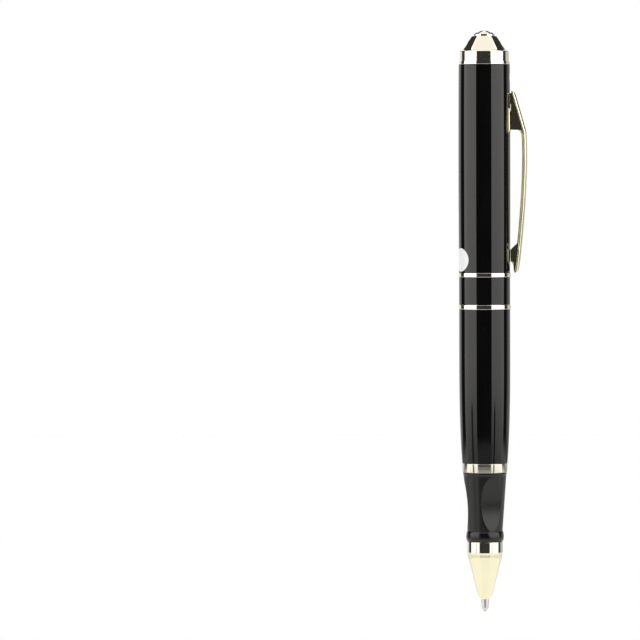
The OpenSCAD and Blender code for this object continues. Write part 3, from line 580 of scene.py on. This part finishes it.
def facet_radius(turn, share):
    """Radius of the faceted wall at an angle, from its foot (share 0) to its head (share 1)."""
    half = math.pi / FACETS
    front = -math.pi / 2
    off = (turn - front + half) % (2 * half) - half
    corner = FACET_FOOT + (FACET_TOP / math.cos(half) - FACET_FOOT) * share
    bulge = 0.6 * (1 - share)
    side = corner * ((1 - bulge) * math.cos(half) / math.cos(off) + bulge)
    flat = corner - EDGE_HALF * math.tan(half * (1 - bulge))
    return min(side, flat / math.cos(half - abs(off)))


row_h = (Z_BEZEL - Z_FACETS) / FACET_ROWS
outline = [(HEAD_R, Z_FACETS - SHOULDER_H, 0.1), (FACET_FOOT, Z_FACETS)]
outline += [(FACET_FOOT - 0.2 * i, Z_FACETS + row_h * i) for i in range(1, FACET_ROWS + 1)]
outline += [
    (BEZEL_SEAT, Z_BEZEL), (BEZEL_SEAT, Z_HEAD_ROOM), (HEAD_BORE, Z_HEAD_ROOM), (HEAD_BORE, Z_SPIGOT, 0.03),
    (SPIGOT_R, Z_SPIGOT, 0.05), (SPIGOT_R, Z_HEAD), (HEAD_R, Z_HEAD),
]
bm = turned(outline, steps=FACETS * 48)
for v in bm.verts:
    r, z = v.co.xy.length / MM, v.co.z / MM
    if z > Z_FACETS - 0.001 and r > 2.5:
        share = (z - Z_FACETS) / (Z_BEZEL - Z_FACETS)
        v.co.xy *= facet_radius(math.atan2(v.co.y, v.co.x), share) / r
make_piece("head_cap_faceted", bm, GOLD, "camera_half", ["head_cap"], sharp=40)

# %% [markdown]
# ## Bezel and push button
# The bezel is a stepped ring pressed into the head. The button is a low dome that slides through it. Both
# are turned. The dome's section is a true arc, so its highlight is a clean round spot.

# %% Bezel and button
Z_BEZEL_FOOT, Z_RIM, BEZEL_R = foot("button_bezel"), head("button_bezel"), reach("button_bezel")
BUTTON_WAY, BEZEL_SPIGOT, STEP_R, Z_STEP = 1.68, 2.10, 2.5, Z_BEZEL + 0.54
outline = [
    (BUTTON_WAY, Z_BEZEL_FOOT), (BEZEL_SPIGOT, Z_BEZEL_FOOT, 0.05), (BEZEL_SPIGOT, Z_BEZEL),
    (BEZEL_R, Z_BEZEL, 0.03), (BEZEL_R, Z_STEP, 0.06), (STEP_R, Z_STEP, 0.05), (2.2, Z_RIM, 0.12),
    (BUTTON_WAY, Z_RIM, 0.05),
]
make_piece("bezel_ring", turned(outline), GOLD, "camera_half", ["button_bezel"])

BUTTON_R, DOME_H, DOME_STEPS = 1.62, 0.65, 16
STEM_R, FLANGE_R, Z_FLANGE, Z_FLANGE_TOP = 1, 1.95, 22.9, 24
Z_STEM, dome_tip = foot("push_button"), head("push_button")
dome_r = (BUTTON_R ** 2 + DOME_H ** 2) / (2 * DOME_H)
half_arc = math.asin(BUTTON_R / dome_r)
dome = [
    (dome_r * math.sin(a), dome_tip - dome_r + dome_r * math.cos(a))
    for a in (half_arc * i / DOME_STEPS for i in range(1, DOME_STEPS + 1))
]
dome[-1] = (*dome[-1], 0.06)
outline = [(0, Z_STEM), (STEM_R, Z_STEM, 0.08), (STEM_R, Z_FLANGE), (FLANGE_R, Z_FLANGE, 0.08)]
outline += [(FLANGE_R, Z_FLANGE_TOP, 0.08), (BUTTON_R, Z_FLANGE_TOP)] + dome[::-1] + [(0, dome_tip)]
make_piece("push_button_dome", turned(outline), GOLD, "button", ["push_button"])

# %% [markdown]
# ## Pocket clip
# The clip is pressed from brass strip: a narrow web along the inside and a wider crowned face outside, so
# its section is a T with a curved top. That section changes along the clip. It starts thin on the saddle,
# stands off at the throat, bows out over the pocket's hem and comes back in to a pad that grips the cloth.
# Each row below says how deep it is under the clip's top, and where its inner face, its side edge and its
# crown are. `extrude_edge_only` carries the section's outline from one row to the next.

# %% Clip rows
CLIP_TOP = head("pocket_clip")
CLIP_HALF = 2.0
WEB_HALF = 1.6


def smooth_run(points, count):
    """A Catmull-Rom curve through rows of numbers."""
    before = [2 * a - b for a, b in zip(points[0], points[1])]
    after = [2 * a - b for a, b in zip(points[-1], points[-2])]
    held = [before, *points, after]
    made = []
    for i in range(count + 1):
        at = i / count * (len(points) - 1)
        k = min(int(at), len(points) - 2)
        t = at - k
        a, b, c, d = held[k:k + 4]
        made.append([
            0.5 * (2 * q + (r - p) * t + (2 * p - 5 * q + 4 * r - s) * t * t + (3 * q - p - 3 * r + s) * t ** 3)
            for p, q, r, s in zip(a, b, c, d)
        ])
    return made


def bent(a, b, c, t):
    """A number on its way from a to c, drawn towards b."""
    return a * (1 - t) ** 2 + 2 * b * t * (1 - t) + c * t * t


tip_run = [[0, 7.08, 7.23, 0.05], [0.12, 7.08, 7.33, 0.3], [0.35, 7.08, 7.43, 0.5], [1, 7.05, 7.58, 0.72]]
foot_run = [[1, 7.05, 7.58, 0.72], [3, 6.94, 8.12, 0.75], [5.3, 6.93, 8.80, 0.75], [10.1, 6.93, 10.16, 0.75]]
throat_run = [
    [10.1, 6.93, 10.16, 0.75], [10.14, 8.5, 10.17, 0.75], [10.28, 9.02, 10.2, 0.75], [10.6, 9.36, 10.28, 0.75],
    [11.0, 9.56, 10.31, 0.75],
]
arm_run = [
    [bent(10.6, 22.15, 39.7, t), bent(10.3, 10.9, 9.1, t) - 0.65, bent(10.3, 10.9, 9.1, t), 0.75]
    for t in (i / 30 for i in range(1, 31))
]
bend_run = [[39.7, 8.45, 9.1, 0.75], [40.6, 7.5, 9.0, 0.75], [41.4, 6.77, 8.95, 0.75]]
pad_run = [[41.4, 6.77, 8.95, 0.75], [43, 6.77, 8.76, 0.75], [44.4, 6.82, 8.6, 0.75]]
heel_run = [[44.4, 6.82, 8.6, 0.75], [45.3, 7.45, 8.45, 0.74], [46.4, 7.58, 8.3, 0.68], [47.0, 7.65, 8.2, 0.58]]
end_run = [[47.0, 7.65, 8.2, 0.58], [47.25, 7.75, 8.15, 0.44], [47.4, 7.85, 8.1, 0.24]]
clip_rows = smooth_run(tip_run, 8) + smooth_run(foot_run, 20)[1:] + throat_run[1:] + arm_run
for run, count in ((bend_run, 6), (pad_run, 6), (heel_run, 12), (end_run, 5)):
    clip_rows += smooth_run(run, count)[1:]
print("clip rows:", len(clip_rows))

# %% Clip body
CROWN_STEPS = 14


def clip_section(depth, inner, edge, crown):
    """The clip's outline at one row, as x and y, from one inner corner round to the other."""
    lip = min(0.16, (edge - inner) * 0.3)
    ease = min(0.12, (edge - inner) * 0.2)
    half = [
        (inner, WEB_HALF - ease), (inner + ease * 0.3, WEB_HALF - ease * 0.3), (inner + ease, WEB_HALF),
        (edge - lip * 1.6, WEB_HALF), (edge - lip, WEB_HALF + 0.05), (edge - lip * 0.9, CLIP_HALF - 0.08),
        (edge - lip * 0.5, CLIP_HALF),
    ]
    arc = [
        (edge + crown * math.sin(a) ** 0.9, CLIP_HALF * math.cos(a))
        for a in (math.pi * i / CROWN_STEPS for i in range(CROWN_STEPS + 1))
    ]
    return half + arc + [(x, -y) for x, y in reversed(half)]


bm = bmesh.new()
z = CLIP_TOP * MM
ring = [bm.verts.new((x * MM, y * MM, z)) for x, y in clip_section(*clip_rows[0])]
edges = [bm.edges.new((ring[i - 1], ring[i])) for i in range(len(ring))]
bm.faces.new(ring)
bm.verts.index_update()
order = {v: i for i, v in enumerate(ring)}
for row in clip_rows[1:]:
    grown = bmesh.ops.extrude_edge_only(bm, edges=edges)["geom"]
    fresh = {g for g in grown if isinstance(g, bmesh.types.BMVert)}
    edges = [g for g in grown if isinstance(g, bmesh.types.BMEdge) and all(v in fresh for v in g.verts)]
    shape = clip_section(*row)
    moved = {}
    for v in fresh:
        before = next(e.other_vert(v) for e in v.link_edges if e.other_vert(v) not in fresh)
        k = order[before]
        v.co = Vector((shape[k][0], shape[k][1], CLIP_TOP - row[0])) * MM
        moved[v] = k
    order = moved
bm.faces.new(sorted(order, key=order.get))
bmesh.ops.recalc_face_normals(bm, faces=bm.faces[:])
PIN_X, Z_PIN, PIN_WAY, LUG_HALF = 5, 9.1, 0.56, 1.2
lug = combined(
    rod(1, (PIN_X, -LUG_HALF, Z_PIN), (PIN_X, LUG_HALF, Z_PIN)), "UNION",
    brick((5.2, -LUG_HALF, 7.1), (7.3, LUG_HALF, 10.1), 0.05),
)
lug = combined(lug, "DIFFERENCE", rod(PIN_WAY, (PIN_X, -3, Z_PIN), (PIN_X, 3, Z_PIN)))
clip = combined(bm, "UNION", lug)
clip_piece = make_piece("pocket_clip_pressed", clip, PALE_GOLD, "clip", ["pocket_clip"], sharp=35)

# The lips beside the wide faces are narrow, so the wide faces are made to decide the shading.
shading = clip_piece.modifiers.new("even shading", "WEIGHTED_NORMAL")
shading.keep_sharp = True

# The flat sides of the arm get a rougher gold whose darker colour is painted shade.
clip_piece.data.materials.append(CLIP_SIDE_SHADE)
arm_top, arm_foot = (CLIP_TOP - 11) * MM, (CLIP_TOP - 39.7) * MM
for face in clip_piece.data.polygons:
    if abs(face.normal.y) > 0.8 and arm_foot < face.center.z < arm_top:
        face.material_index = 1

# %% [markdown]
# ## Saddle and label
# Two thin sheets are bent round the barrel: the brass saddle under the clip's foot and a blank round label
# near the lower end. Each is the barrel's own skin, thickened outwards, and kept only inside a cutter of
# the right outline.

# %% Saddle and label
SADDLE_SKIN, SADDLE_HALF = 0.18, 2.75
saddle = combined(
    turned(upper_shell(SADDLE_SKIN, None, -0.5, 10.8, 12, 0)), "INTERSECT",
    brick((5, -SADDLE_HALF, 0), (8, SADDLE_HALF, 10.1), 0.25),
)
saddle = combined(saddle, "DIFFERENCE", brick(*SLOT, SLOT_ROUND))
make_piece("clip_saddle_plate", saddle, PALE_GOLD, "camera_half", ["clip_saddle"])

LABEL_Z = (foot("label_sticker") + head("label_sticker")) / 2
LABEL_R = (head("label_sticker") - foot("label_sticker")) / 2
LABEL_SKIN = 0.08
label_centre = sum(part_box("label_sticker"), Vector()) / 2
LABEL_TURN = math.degrees(math.atan2(label_centre.y, label_centre.x))
lift = Vector((0, 0, LABEL_Z))
label = combined(
    turned(upper_shell(LABEL_SKIN, None, LABEL_Z - 4, LABEL_Z + 4, 12, 0)), "INTERSECT",
    rod(LABEL_R, turned_out(1, LABEL_TURN) + lift, turned_out(9, LABEL_TURN) + lift, 128),
)
make_piece("blank_label", label, LABEL, "camera_half", ["label_sticker"])

# %% [markdown]
# ## Lens
# The lens behind the barrel's hole is a small glass button with a low crown. It is turned about Z like the
# rest and then rolled over to look out along X.

# %% Lens
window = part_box("lens_window")
lens_r, lens_t = reach("lens_window"), (window[1].x - window[0].x) / MM
LENS_CROWN, CROWN_ROWS = 0.14, 10
crown = [
    (lens_r * math.sin(a), lens_t - LENS_CROWN + LENS_CROWN * math.cos(a))
    for a in (math.pi / 2 * i / CROWN_ROWS for i in range(CROWN_ROWS, 0, -1))
]
bm = turned([(0, 0), (lens_r, 0, 0.03)] + crown + [(0, lens_t)], steps=96)
bmesh.ops.rotate(bm, verts=bm.verts[:], cent=(0, 0, 0), matrix=Matrix.Rotation(math.pi / 2, 3, "Y"))
bmesh.ops.translate(bm, verts=bm.verts[:], vec=(window[0].x, 0, Z_LENS * MM))
make_piece("lens_glass", bm, LENS_GLASS, "camera_half", ["lens_window"])

# %% [markdown]
# ## The screw joint
# The gold collar's head sits in the upper barrel, its plain shank carries the sleeve and rings, and its
# foot has the thread. A thread is one small ridge swept along a helix. `spin` does that too: its dvec lifts
# the section a little with every step, so six turns climb six pitches.

# %% Threaded collar
Z_COLLAR_FOOT, Z_COLLAR_TOP = foot("threaded_collar"), head("threaded_collar")
COLLAR_BORE, THREAD_ROOT, SHANK_R, COLLAR_HEAD = 5.55, 5.80, 6.10, 6.23
outline = [
    (COLLAR_BORE, Z_COLLAR_FOOT), (THREAD_ROOT, Z_COLLAR_FOOT, 0.03), (THREAD_ROOT, Z_PARTING + 0.05),
    (SHANK_R, Z_PARTING + 0.05, 0.03), (SHANK_R, Z_UPPER), (COLLAR_HEAD, Z_UPPER),
    (COLLAR_HEAD, Z_COLLAR_TOP, 0.06), (COLLAR_BORE, Z_COLLAR_TOP, 0.03),
]
make_piece("threaded_collar_body", turned(outline), GOLD, "camera_half", ["threaded_collar"])

PITCH, TURNS, THREAD_STEPS = 0.5, 5.4, 120
Z_THREAD = Z_PARTING - 3
RIDGE = [(5.76, 0), (5.80, 0.04), (6.03, 0.19), (6.05, 0.24), (6.03, 0.29), (5.80, 0.44), (5.76, 0.48)]
ridge = bmesh.new()
corners = [ridge.verts.new((r * MM, 0, (Z_THREAD + up) * MM)) for r, up in RIDGE]
ridge.faces.new(corners)
swept = bmesh.ops.spin(
    ridge, geom=corners + ridge.edges[:], cent=(0, 0, 0), axis=(0, 0, 1),
    dvec=(0, 0, PITCH * MM / THREAD_STEPS), angle=2 * math.pi * TURNS,
    steps=round(TURNS * THREAD_STEPS), use_merge=False,
)
last = [g for g in swept["geom_last"] if isinstance(g, bmesh.types.BMEdge)]
bmesh.ops.contextual_create(ridge, geom=last)
bmesh.ops.recalc_face_normals(ridge, faces=ridge.faces[:])
make_piece("collar_thread", ridge, GOLD, "camera_half", [], sharp=50)

# %% [markdown]
# ## Core tube
# The brass tube hides inside the lower barrel and carries the socket. Its neck is turned down to slip into
# the collar, and its open end is rounded so that it finds its way back in.

# %% Core tube
Z_CORE, Z_NECK, Z_NECK_TOP = foot("core_tube"), Z_COLLAR_FOOT, head("core_tube")
CORE_R, CORE_BORE, NECK_R, NECK_BORE, NECK_WALL = 6.05, 5.75, 5.53, 5.23, 0.4
outline = [
    (CORE_BORE, Z_CORE, 0.04), (CORE_R, Z_CORE, 0.1), (CORE_R, Z_NECK, 0.04), (NECK_R, Z_NECK),
    (NECK_R, Z_NECK_TOP, 0.04), (NECK_BORE, Z_NECK_TOP, 0.03), (NECK_BORE, Z_NECK - NECK_WALL),
    (CORE_BORE, Z_NECK - NECK_WALL),
]
make_piece("core_tube_brass", turned(outline), GOLD, "camera_half", ["core_tube"])

# %% [markdown]
# ## Grip
# The moulded grip swells into a rounded collar at its lower end, has a waist above it and widens up to the
# ring. Three long scoops are hollowed in it for two fingers and a thumb. It is spun as a fine mesh and then
# each vertex that stands outside a scoop's cylinder is pulled back to it. The smooth minimum rounds the
# scoop's rim the way a mould does.

# %% Grip with its three finger scoops
Z_GRIP, Z_GRIP_TOP = foot("grip"), head("grip")
COLLAR_H, BULGE, BULGE_STEPS = 2.8, 0.32, 24
WAIST_R, TAPER_R, GRIP_ROWS = 4.6, 5.6, 90
GRIP_BORE, NOSE_SEAT, HOUSING_WAY, Z_NOSE_SEAT = 3.0, 3.62, 4.66, Z_GRIP + 4.8
collar_bulge = [
    (WAIST_R + BULGE * math.sin(a), Z_GRIP + COLLAR_H * (0.03 + 0.47 * (1 - math.cos(a))))
    for a in (math.pi * i / BULGE_STEPS for i in range(BULGE_STEPS + 1))
]
z_waist = collar_bulge[-1][1]
taper_h = Z_GRIP_TOP - 1 - z_waist
outline = [
    (GRIP_BORE, Z_GRIP_TOP, 0.03), (GRIP_BORE, Z_NOSE_SEAT), (NOSE_SEAT, Z_NOSE_SEAT), (NOSE_SEAT, Z_GRIP),
    (4.5, Z_GRIP, 0.05), *collar_bulge,
]
outline += [
    (WAIST_R + (TAPER_R - WAIST_R) * i / GRIP_ROWS, z_waist + taper_h * i / GRIP_ROWS)
    for i in range(1, GRIP_ROWS + 1)
]
outline += [(5.7, Z_GRIP_TOP - 0.4), (5.72, Z_GRIP_TOP, 0.02), (HOUSING_WAY, Z_GRIP_TOP)]
outline += [(HOUSING_WAY, Z_GRIP_TOP - 0.5)]
SCOOP_TURNS = (52, 172, 292)
SCOOP_CURVE, SCOOP_Z, SCOOP_LEFT, SCOOP_SOFT = 27.1, Z_GRIP + 8.1, 4.15, 0.12
INSIDE_R, SCOOP_REACH = 4.05, 3.5


def scooped(point, turn):
    """How far out this point may stand in the direction of one scoop."""
    lift = math.sqrt(max(SCOOP_CURVE ** 2 - (point.z / MM - SCOOP_Z) ** 2, 0))
    return SCOOP_LEFT + SCOOP_CURVE - lift


def soft_min(a, b, soft):
    """The smaller of two numbers, rounded off where they are less than soft apart."""
    h = max(soft - abs(a - b), 0) / soft
    return min(a, b) - h * h * soft / 4


bm = turned(outline, steps=288)
for v in bm.verts:
    r = v.co.xy.length / MM
    if r < INSIDE_R or v.co.z / MM < z_waist - 1.2:
        continue
    for turn in SCOOP_TURNS:
        out = turned_out(1, turn)
        along = v.co.dot(out) / MM
        if along > SCOOP_REACH:
            v.co += out * (soft_min(along, scooped(v.co, turn), SCOOP_SOFT) - along) * MM
make_piece("grip_moulded", bm, GRIP_BLACK, "grip_section", ["grip"], sharp=45)

# %% [markdown]
# ## Grip ring, nose and point
# Under the grip come a gold band, the cone's rim and the cone. The refill's point shows under the cone's
# mouth: a turned shank with a fine cone. The ball that rolls in it is a plain sphere, so it keeps its CAD
# shape and was given its carbide finish with the other CAD nodes.

# %% Grip ring and nose band
Z_RING_FOOT, Z_RING, RING_R = foot("grip_ring"), head("grip_ring"), reach("grip_ring")
outline = [
    (HOUSING_WAY, Z_RING_FOOT, 0.03), (RING_R - 0.11, Z_RING_FOOT, 0.06), (RING_R - 0.066, Z_RING - 1.5),
    (RING_R - 0.028, Z_RING - 0.7), (RING_R, Z_RING, 0.06), (HOUSING_WAY, Z_RING, 0.03),
]
make_piece("grip_ring_trim", turned(outline), GOLD, "grip_section", ["grip_ring"])

BAND_R = reach("nose_band")
outline = tube(BAND_R, NOSE_SEAT, foot("nose_band"), head("nose_band"), 0.03)
make_piece("nose_band_trim", turned(outline), GOLD, "grip_section", ["nose_band"])

# %% Nose cone
Z_MOUTH, Z_NOSE_BAND, Z_SPIGOT_TOP = foot("nose_cone"), foot("nose_band"), head("nose_cone")
Z_NOSE_RIM, CONE_FOOT = Z_NOSE_BAND - 0.55, Z_MOUTH + 0.74
MOUTH_R, THROAT_R, SPRING_ROOM, NOSE_SPIGOT = 1.05, 1.25, 2.0, 3.6
Z_THROAT, Z_SPRING_SEAT = Z_MOUTH + 1.95, Z_MOUTH + 4.75
outline = [
    (MOUTH_R, Z_THROAT), (MOUTH_R, Z_MOUTH, 0.03), (1.17, Z_MOUTH, 0.06), (1.8, CONE_FOOT, 0.5),
    (4.395, Z_NOSE_RIM - 0.9, 0.3), (4.49, Z_NOSE_RIM), (4.52, Z_NOSE_RIM, 0.02), (BAND_R, Z_NOSE_BAND),
    (NOSE_SPIGOT, Z_NOSE_BAND), (NOSE_SPIGOT, Z_SPIGOT_TOP, 0.06), (SPRING_ROOM, Z_SPIGOT_TOP),
    (SPRING_ROOM, Z_SPRING_SEAT), (THROAT_R, Z_SPRING_SEAT), (THROAT_R, Z_THROAT),
]
make_piece("nose_cone_turned", turned(outline), PALE_GOLD, "grip_section", ["nose_cone"])

# %% Refill point
Z_POINT, Z_POINT_TOP, Z_POINT_NECK = foot("refill_point"), head("refill_point"), -119.94
INK_WAY, BALL_SEAT, NECK_END, POINT_SHANK, POINT_TOP_R = 0.30, 0.40, 0.87, 1.0, 1.17
Z_BALL_SEAT = Z_POINT + 0.75
outline = [
    (INK_WAY, Z_POINT_TOP), (POINT_TOP_R, Z_POINT_TOP, 0.05), (POINT_TOP_R, Z_POINT_NECK, 0.04),
    (POINT_SHANK, Z_POINT_NECK), (POINT_SHANK, Z_MOUTH), (NECK_END, Z_POINT + 0.6, 0.15), (0.52, Z_POINT, 0.05),
    (BALL_SEAT, Z_POINT), (BALL_SEAT, Z_BALL_SEAT), (INK_WAY, Z_BALL_SEAT),
]
make_piece("refill_point_turned", turned(outline, 96), BRIGHT_STEEL, "refill", ["refill_point"])

# %% [markdown]
# ## Battery
# The cell is a drawn can with a rolled bead near its top, where the seal is crimped in.

# %% Battery can
Z_CELL, Z_CELL_TOP, CELL_R = foot("battery"), head("battery"), reach("battery")
BEAD_DEPTH, POLE_R, POLE_H = 0.35, 2.6, 0.3
outline = [
    (0, Z_CELL), (CELL_R - 0.4, Z_CELL, 0.1), (CELL_R, Z_CELL + 0.4, 0.3), (CELL_R, Z_CELL_TOP - 3.2, 0.15),
    (CELL_R - BEAD_DEPTH, Z_CELL_TOP - 2.8, 0.2), (CELL_R, Z_CELL_TOP - 2.4, 0.15),
    (CELL_R, Z_CELL_TOP - POLE_H, 0.2), (POLE_R, Z_CELL_TOP - POLE_H, 0.1), (POLE_R, Z_CELL_TOP, 0.15),
    (0, Z_CELL_TOP),
]
make_piece("battery_can", turned(outline, 128), CELL_CAN, "camera_half", ["battery"])

# %% [markdown]
# ## The studio
# A polished pen is a picture of the room it stands in. Product photographers build that room from white
# cards and black cards, and here it is drawn on the world instead. Looking out from the pen, the angle
# round from the camera decides: a dark card behind the camera gives the dark stripe down the middle of each
# gold ring, the white cards on both sides give the broad bright stripes, dark gaps outside them give the
# fine dark lines, and white again behind the pen lights its very edges. Below them lies a white table. It
# is dim in front and starts a little lower there, and two narrow dark seams cross it. Only mirror
# reflections see all this. The camera sees plain white, and soft light falls evenly from all round.

# %% World of cards
world = bpy.data.worlds.new("studio")
scene.world = world
world.use_nodes = True
tree = world.node_tree
tree.nodes.clear()


def add(kind, **settings):
    node = tree.nodes.new(kind)
    for key, value in settings.items():
        setattr(node, key, value)
    return node


def join(out, into):
    tree.links.new(out, into)


def maths(operation, *values):
    node = add("ShaderNodeMath", operation=operation)
    for socket, value in zip(node.inputs, values):
        if isinstance(value, (int, float)):
            socket.default_value = value
        else:
            join(value, socket)
    return node.outputs[0]


def between_steps(value, low, high, soft):
    """1 between low and high and 0 outside, with edges as soft as asked."""
    up = add("ShaderNodeMapRange", interpolation_type="SMOOTHSTEP")
    down = add("ShaderNodeMapRange", interpolation_type="SMOOTHSTEP")
    for node, at in ((up, low), (down, high)):
        join(value, node.inputs["Value"])
        node.inputs["From Min"].default_value = at - soft / 2
        node.inputs["From Max"].default_value = at + soft / 2
    down.inputs["To Min"].default_value, down.inputs["To Max"].default_value = 1, 0
    return maths("MULTIPLY", up.outputs["Result"], down.outputs["Result"])


look = add("ShaderNodeSeparateXYZ")
join(add("ShaderNodeTexCoord").outputs["Generated"], look.inputs["Vector"])
x, y, z = look.outputs
DEG = 180 / math.pi
azimuth = maths("MULTIPLY", maths("ARCTAN2", x, maths("MULTIPLY", y, -1.0)), DEG)
height = maths("MULTIPLY", maths("ARCSINE", z), DEG)

CARDS = [
    # azimuth from, to, softness, height from, to, softness, brightness
    (-101.5, -37, 2, -3.8, 62, 12, 1.25),
    (-101.5, -37, 2, -9.3, 62, 2, 0.95),
    (31.5, 97, 2, -3.8, 62, 12, 1.15),
    (31.5, 97, 2, -9.3, 62, 2, 0.95),
    (-167, -128, 8, -6, 9, 4, 0.85),
    (120, 167, 8, -6, 9, 4, 0.55),
    (-190, -167, 2, -6, 62, 6, 0.9),
    (167, 190, 2, -6, 62, 6, 0.8),
    (-32, 32, 2, 30, 62, 6, 0.98),
]
SEAMS = [(-65, -56, 2, -11.8, -4.8, 1.2, 0.85), (43, 50, 2, -13.6, -5.0, 1.2, 0.95)]


def patch(low, high, soft, bottom, top, rise, bright):
    across = between_steps(azimuth, low, high, soft)
    return maths("MULTIPLY", maths("MULTIPLY", across, between_steps(height, bottom, top, rise)), bright)


ROOM_DARK, CEILING, TABLE, NEAR_TABLE = 0.03, 0.99, (0.82, -0.52), (0.2, 0.48)
level = ROOM_DARK
for card in CARDS:
    level = maths("ADD", level, patch(*card))
level = maths("ADD", level, maths("MULTIPLY", between_steps(height, 60, 200, 6), CEILING))
ahead = between_steps(azimuth, -35, 35, 8)
near = between_steps(azimuth, -99, 95, 6)
table = between_steps(maths("ADD", height, maths("MULTIPLY", near, 2)), -200, -7.3, 2)
deep = between_steps(height, -200, -17, 5)
for area, (bright, change_ahead) in ((table, TABLE), (deep, NEAR_TABLE)):
    shade = maths("ADD", bright, maths("MULTIPLY", ahead, change_ahead))
    level = maths("ADD", level, maths("MULTIPLY", area, shade))
for seam in SEAMS:
    level = maths("MULTIPLY", level, maths("SUBTRACT", 1, patch(*seam)))

paths = add("ShaderNodeLightPath")
cards = add("ShaderNodeBackground")
cards.inputs["Color"].default_value = (1.0, 0.985, 0.95, 1)
join(level, cards.inputs["Strength"])
soft_light = add("ShaderNodeBackground")
soft_light.inputs["Color"].default_value = (1, 1, 1, 1)
white = add("ShaderNodeBackground")
white.inputs["Color"].default_value = (1, 1, 1, 1)
lit = add("ShaderNodeMixShader")
join(paths.outputs["Is Glossy Ray"], lit.inputs["Fac"])
join(soft_light.outputs[0], lit.inputs[1])
join(cards.outputs[0], lit.inputs[2])
seen = add("ShaderNodeMixShader")
join(maths("MAXIMUM", paths.outputs["Is Camera Ray"], paths.outputs["Is Transmission Ray"]), seen.inputs["Fac"])
join(lit.outputs[0], seen.inputs[1])
join(white.outputs[0], seen.inputs[2])
join(seen.outputs[0], add("ShaderNodeOutputWorld").inputs["Surface"])
print("cards:", len(CARDS), "seams:", len(SEAMS))

# %% [markdown]
# ## Floor
# The floor is a large plain pale disc, a few centimetres under the point, low enough that the refill and
# the drawn-off half of the pen never reach it.

# %% Floor
FLOOR_R, FLOOR_Z = 1.5, -0.17
bm = bmesh.new()
bmesh.ops.create_circle(
    bm, cap_ends=True, segments=96, radius=FLOOR_R, matrix=Matrix.Translation((0, 0, FLOOR_Z)),
)
floor_mesh = bpy.data.meshes.new("floor")
bm.to_mesh(floor_mesh)
bm.free()
floor_finish, tree_f, shader_f, place_f = start_finish("pale floor")
shader_f.inputs["Roughness"].default_value = 0.8
shader_f.inputs["Specular IOR Level"].default_value = 0.1
speckle = noise(tree_f, place_f, (3, 3, 3))
pale = blend_colours(tree_f, speckle, (0.93, 0.93, 0.93), (0.96, 0.96, 0.96))
tree_f.links.new(pale, shader_f.inputs["Base Color"])
floor_mesh.materials.append(floor_finish)
shine = tree_f.nodes.new("ShaderNodeLightPath")
faint = tree_f.nodes.new("ShaderNodeMath")
faint.operation = "MULTIPLY"
faint.inputs[1].default_value = 0.06
tree_f.links.new(shine.outputs["Is Camera Ray"], faint.inputs[0])
tree_f.links.new(faint.outputs[0], shader_f.inputs["Emission Strength"])
shader_f.inputs["Emission Color"].default_value = (1, 1, 1, 1)
floor = bpy.data.objects.new("floor", floor_mesh)
floor.visible_glossy = False
scene.collection.objects.link(floor)
floor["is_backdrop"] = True
print("floor at", FLOOR_Z, "m")

# %% [markdown]
# ## Camera
# The pen is seen level, from the front, through a long lens more than a metre away, so its stripes stay
# straight and its rings look like straight bands.

# %% Camera and colour settings
camera = bpy.data.cameras.new("camera")
camera.lens = 236.6
camera.sensor_width = 36
camera.clip_start, camera.clip_end = 0.01, 20
viewer = bpy.data.objects.new("camera", camera)
viewer.location = (0, -1.1, -0.0125)
aim = (Vector((-0.04308, 0, -0.04909)) - viewer.location).to_track_quat("-Z", "Y")
viewer.rotation_euler = (aim @ Quaternion((0, 0, 1), math.radians(-0.18))).to_euler()
scene.collection.objects.link(viewer)
scene.camera = viewer
scene.view_settings.view_transform = "Standard"
print("lens", round(camera.lens, 1), "mm, distance", round(-viewer.location.y, 2), "m")

# %% [markdown]
# The dress has to stay inside the CAD model's own box. Both boxes are written down to be compared.

# %% Sizes, and the end
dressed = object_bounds()
for title, box in (("CAD", cad_box), ("dressed", dressed)):
    print(title, [[round(value / MM, 2) for value in corner] for corner in box])
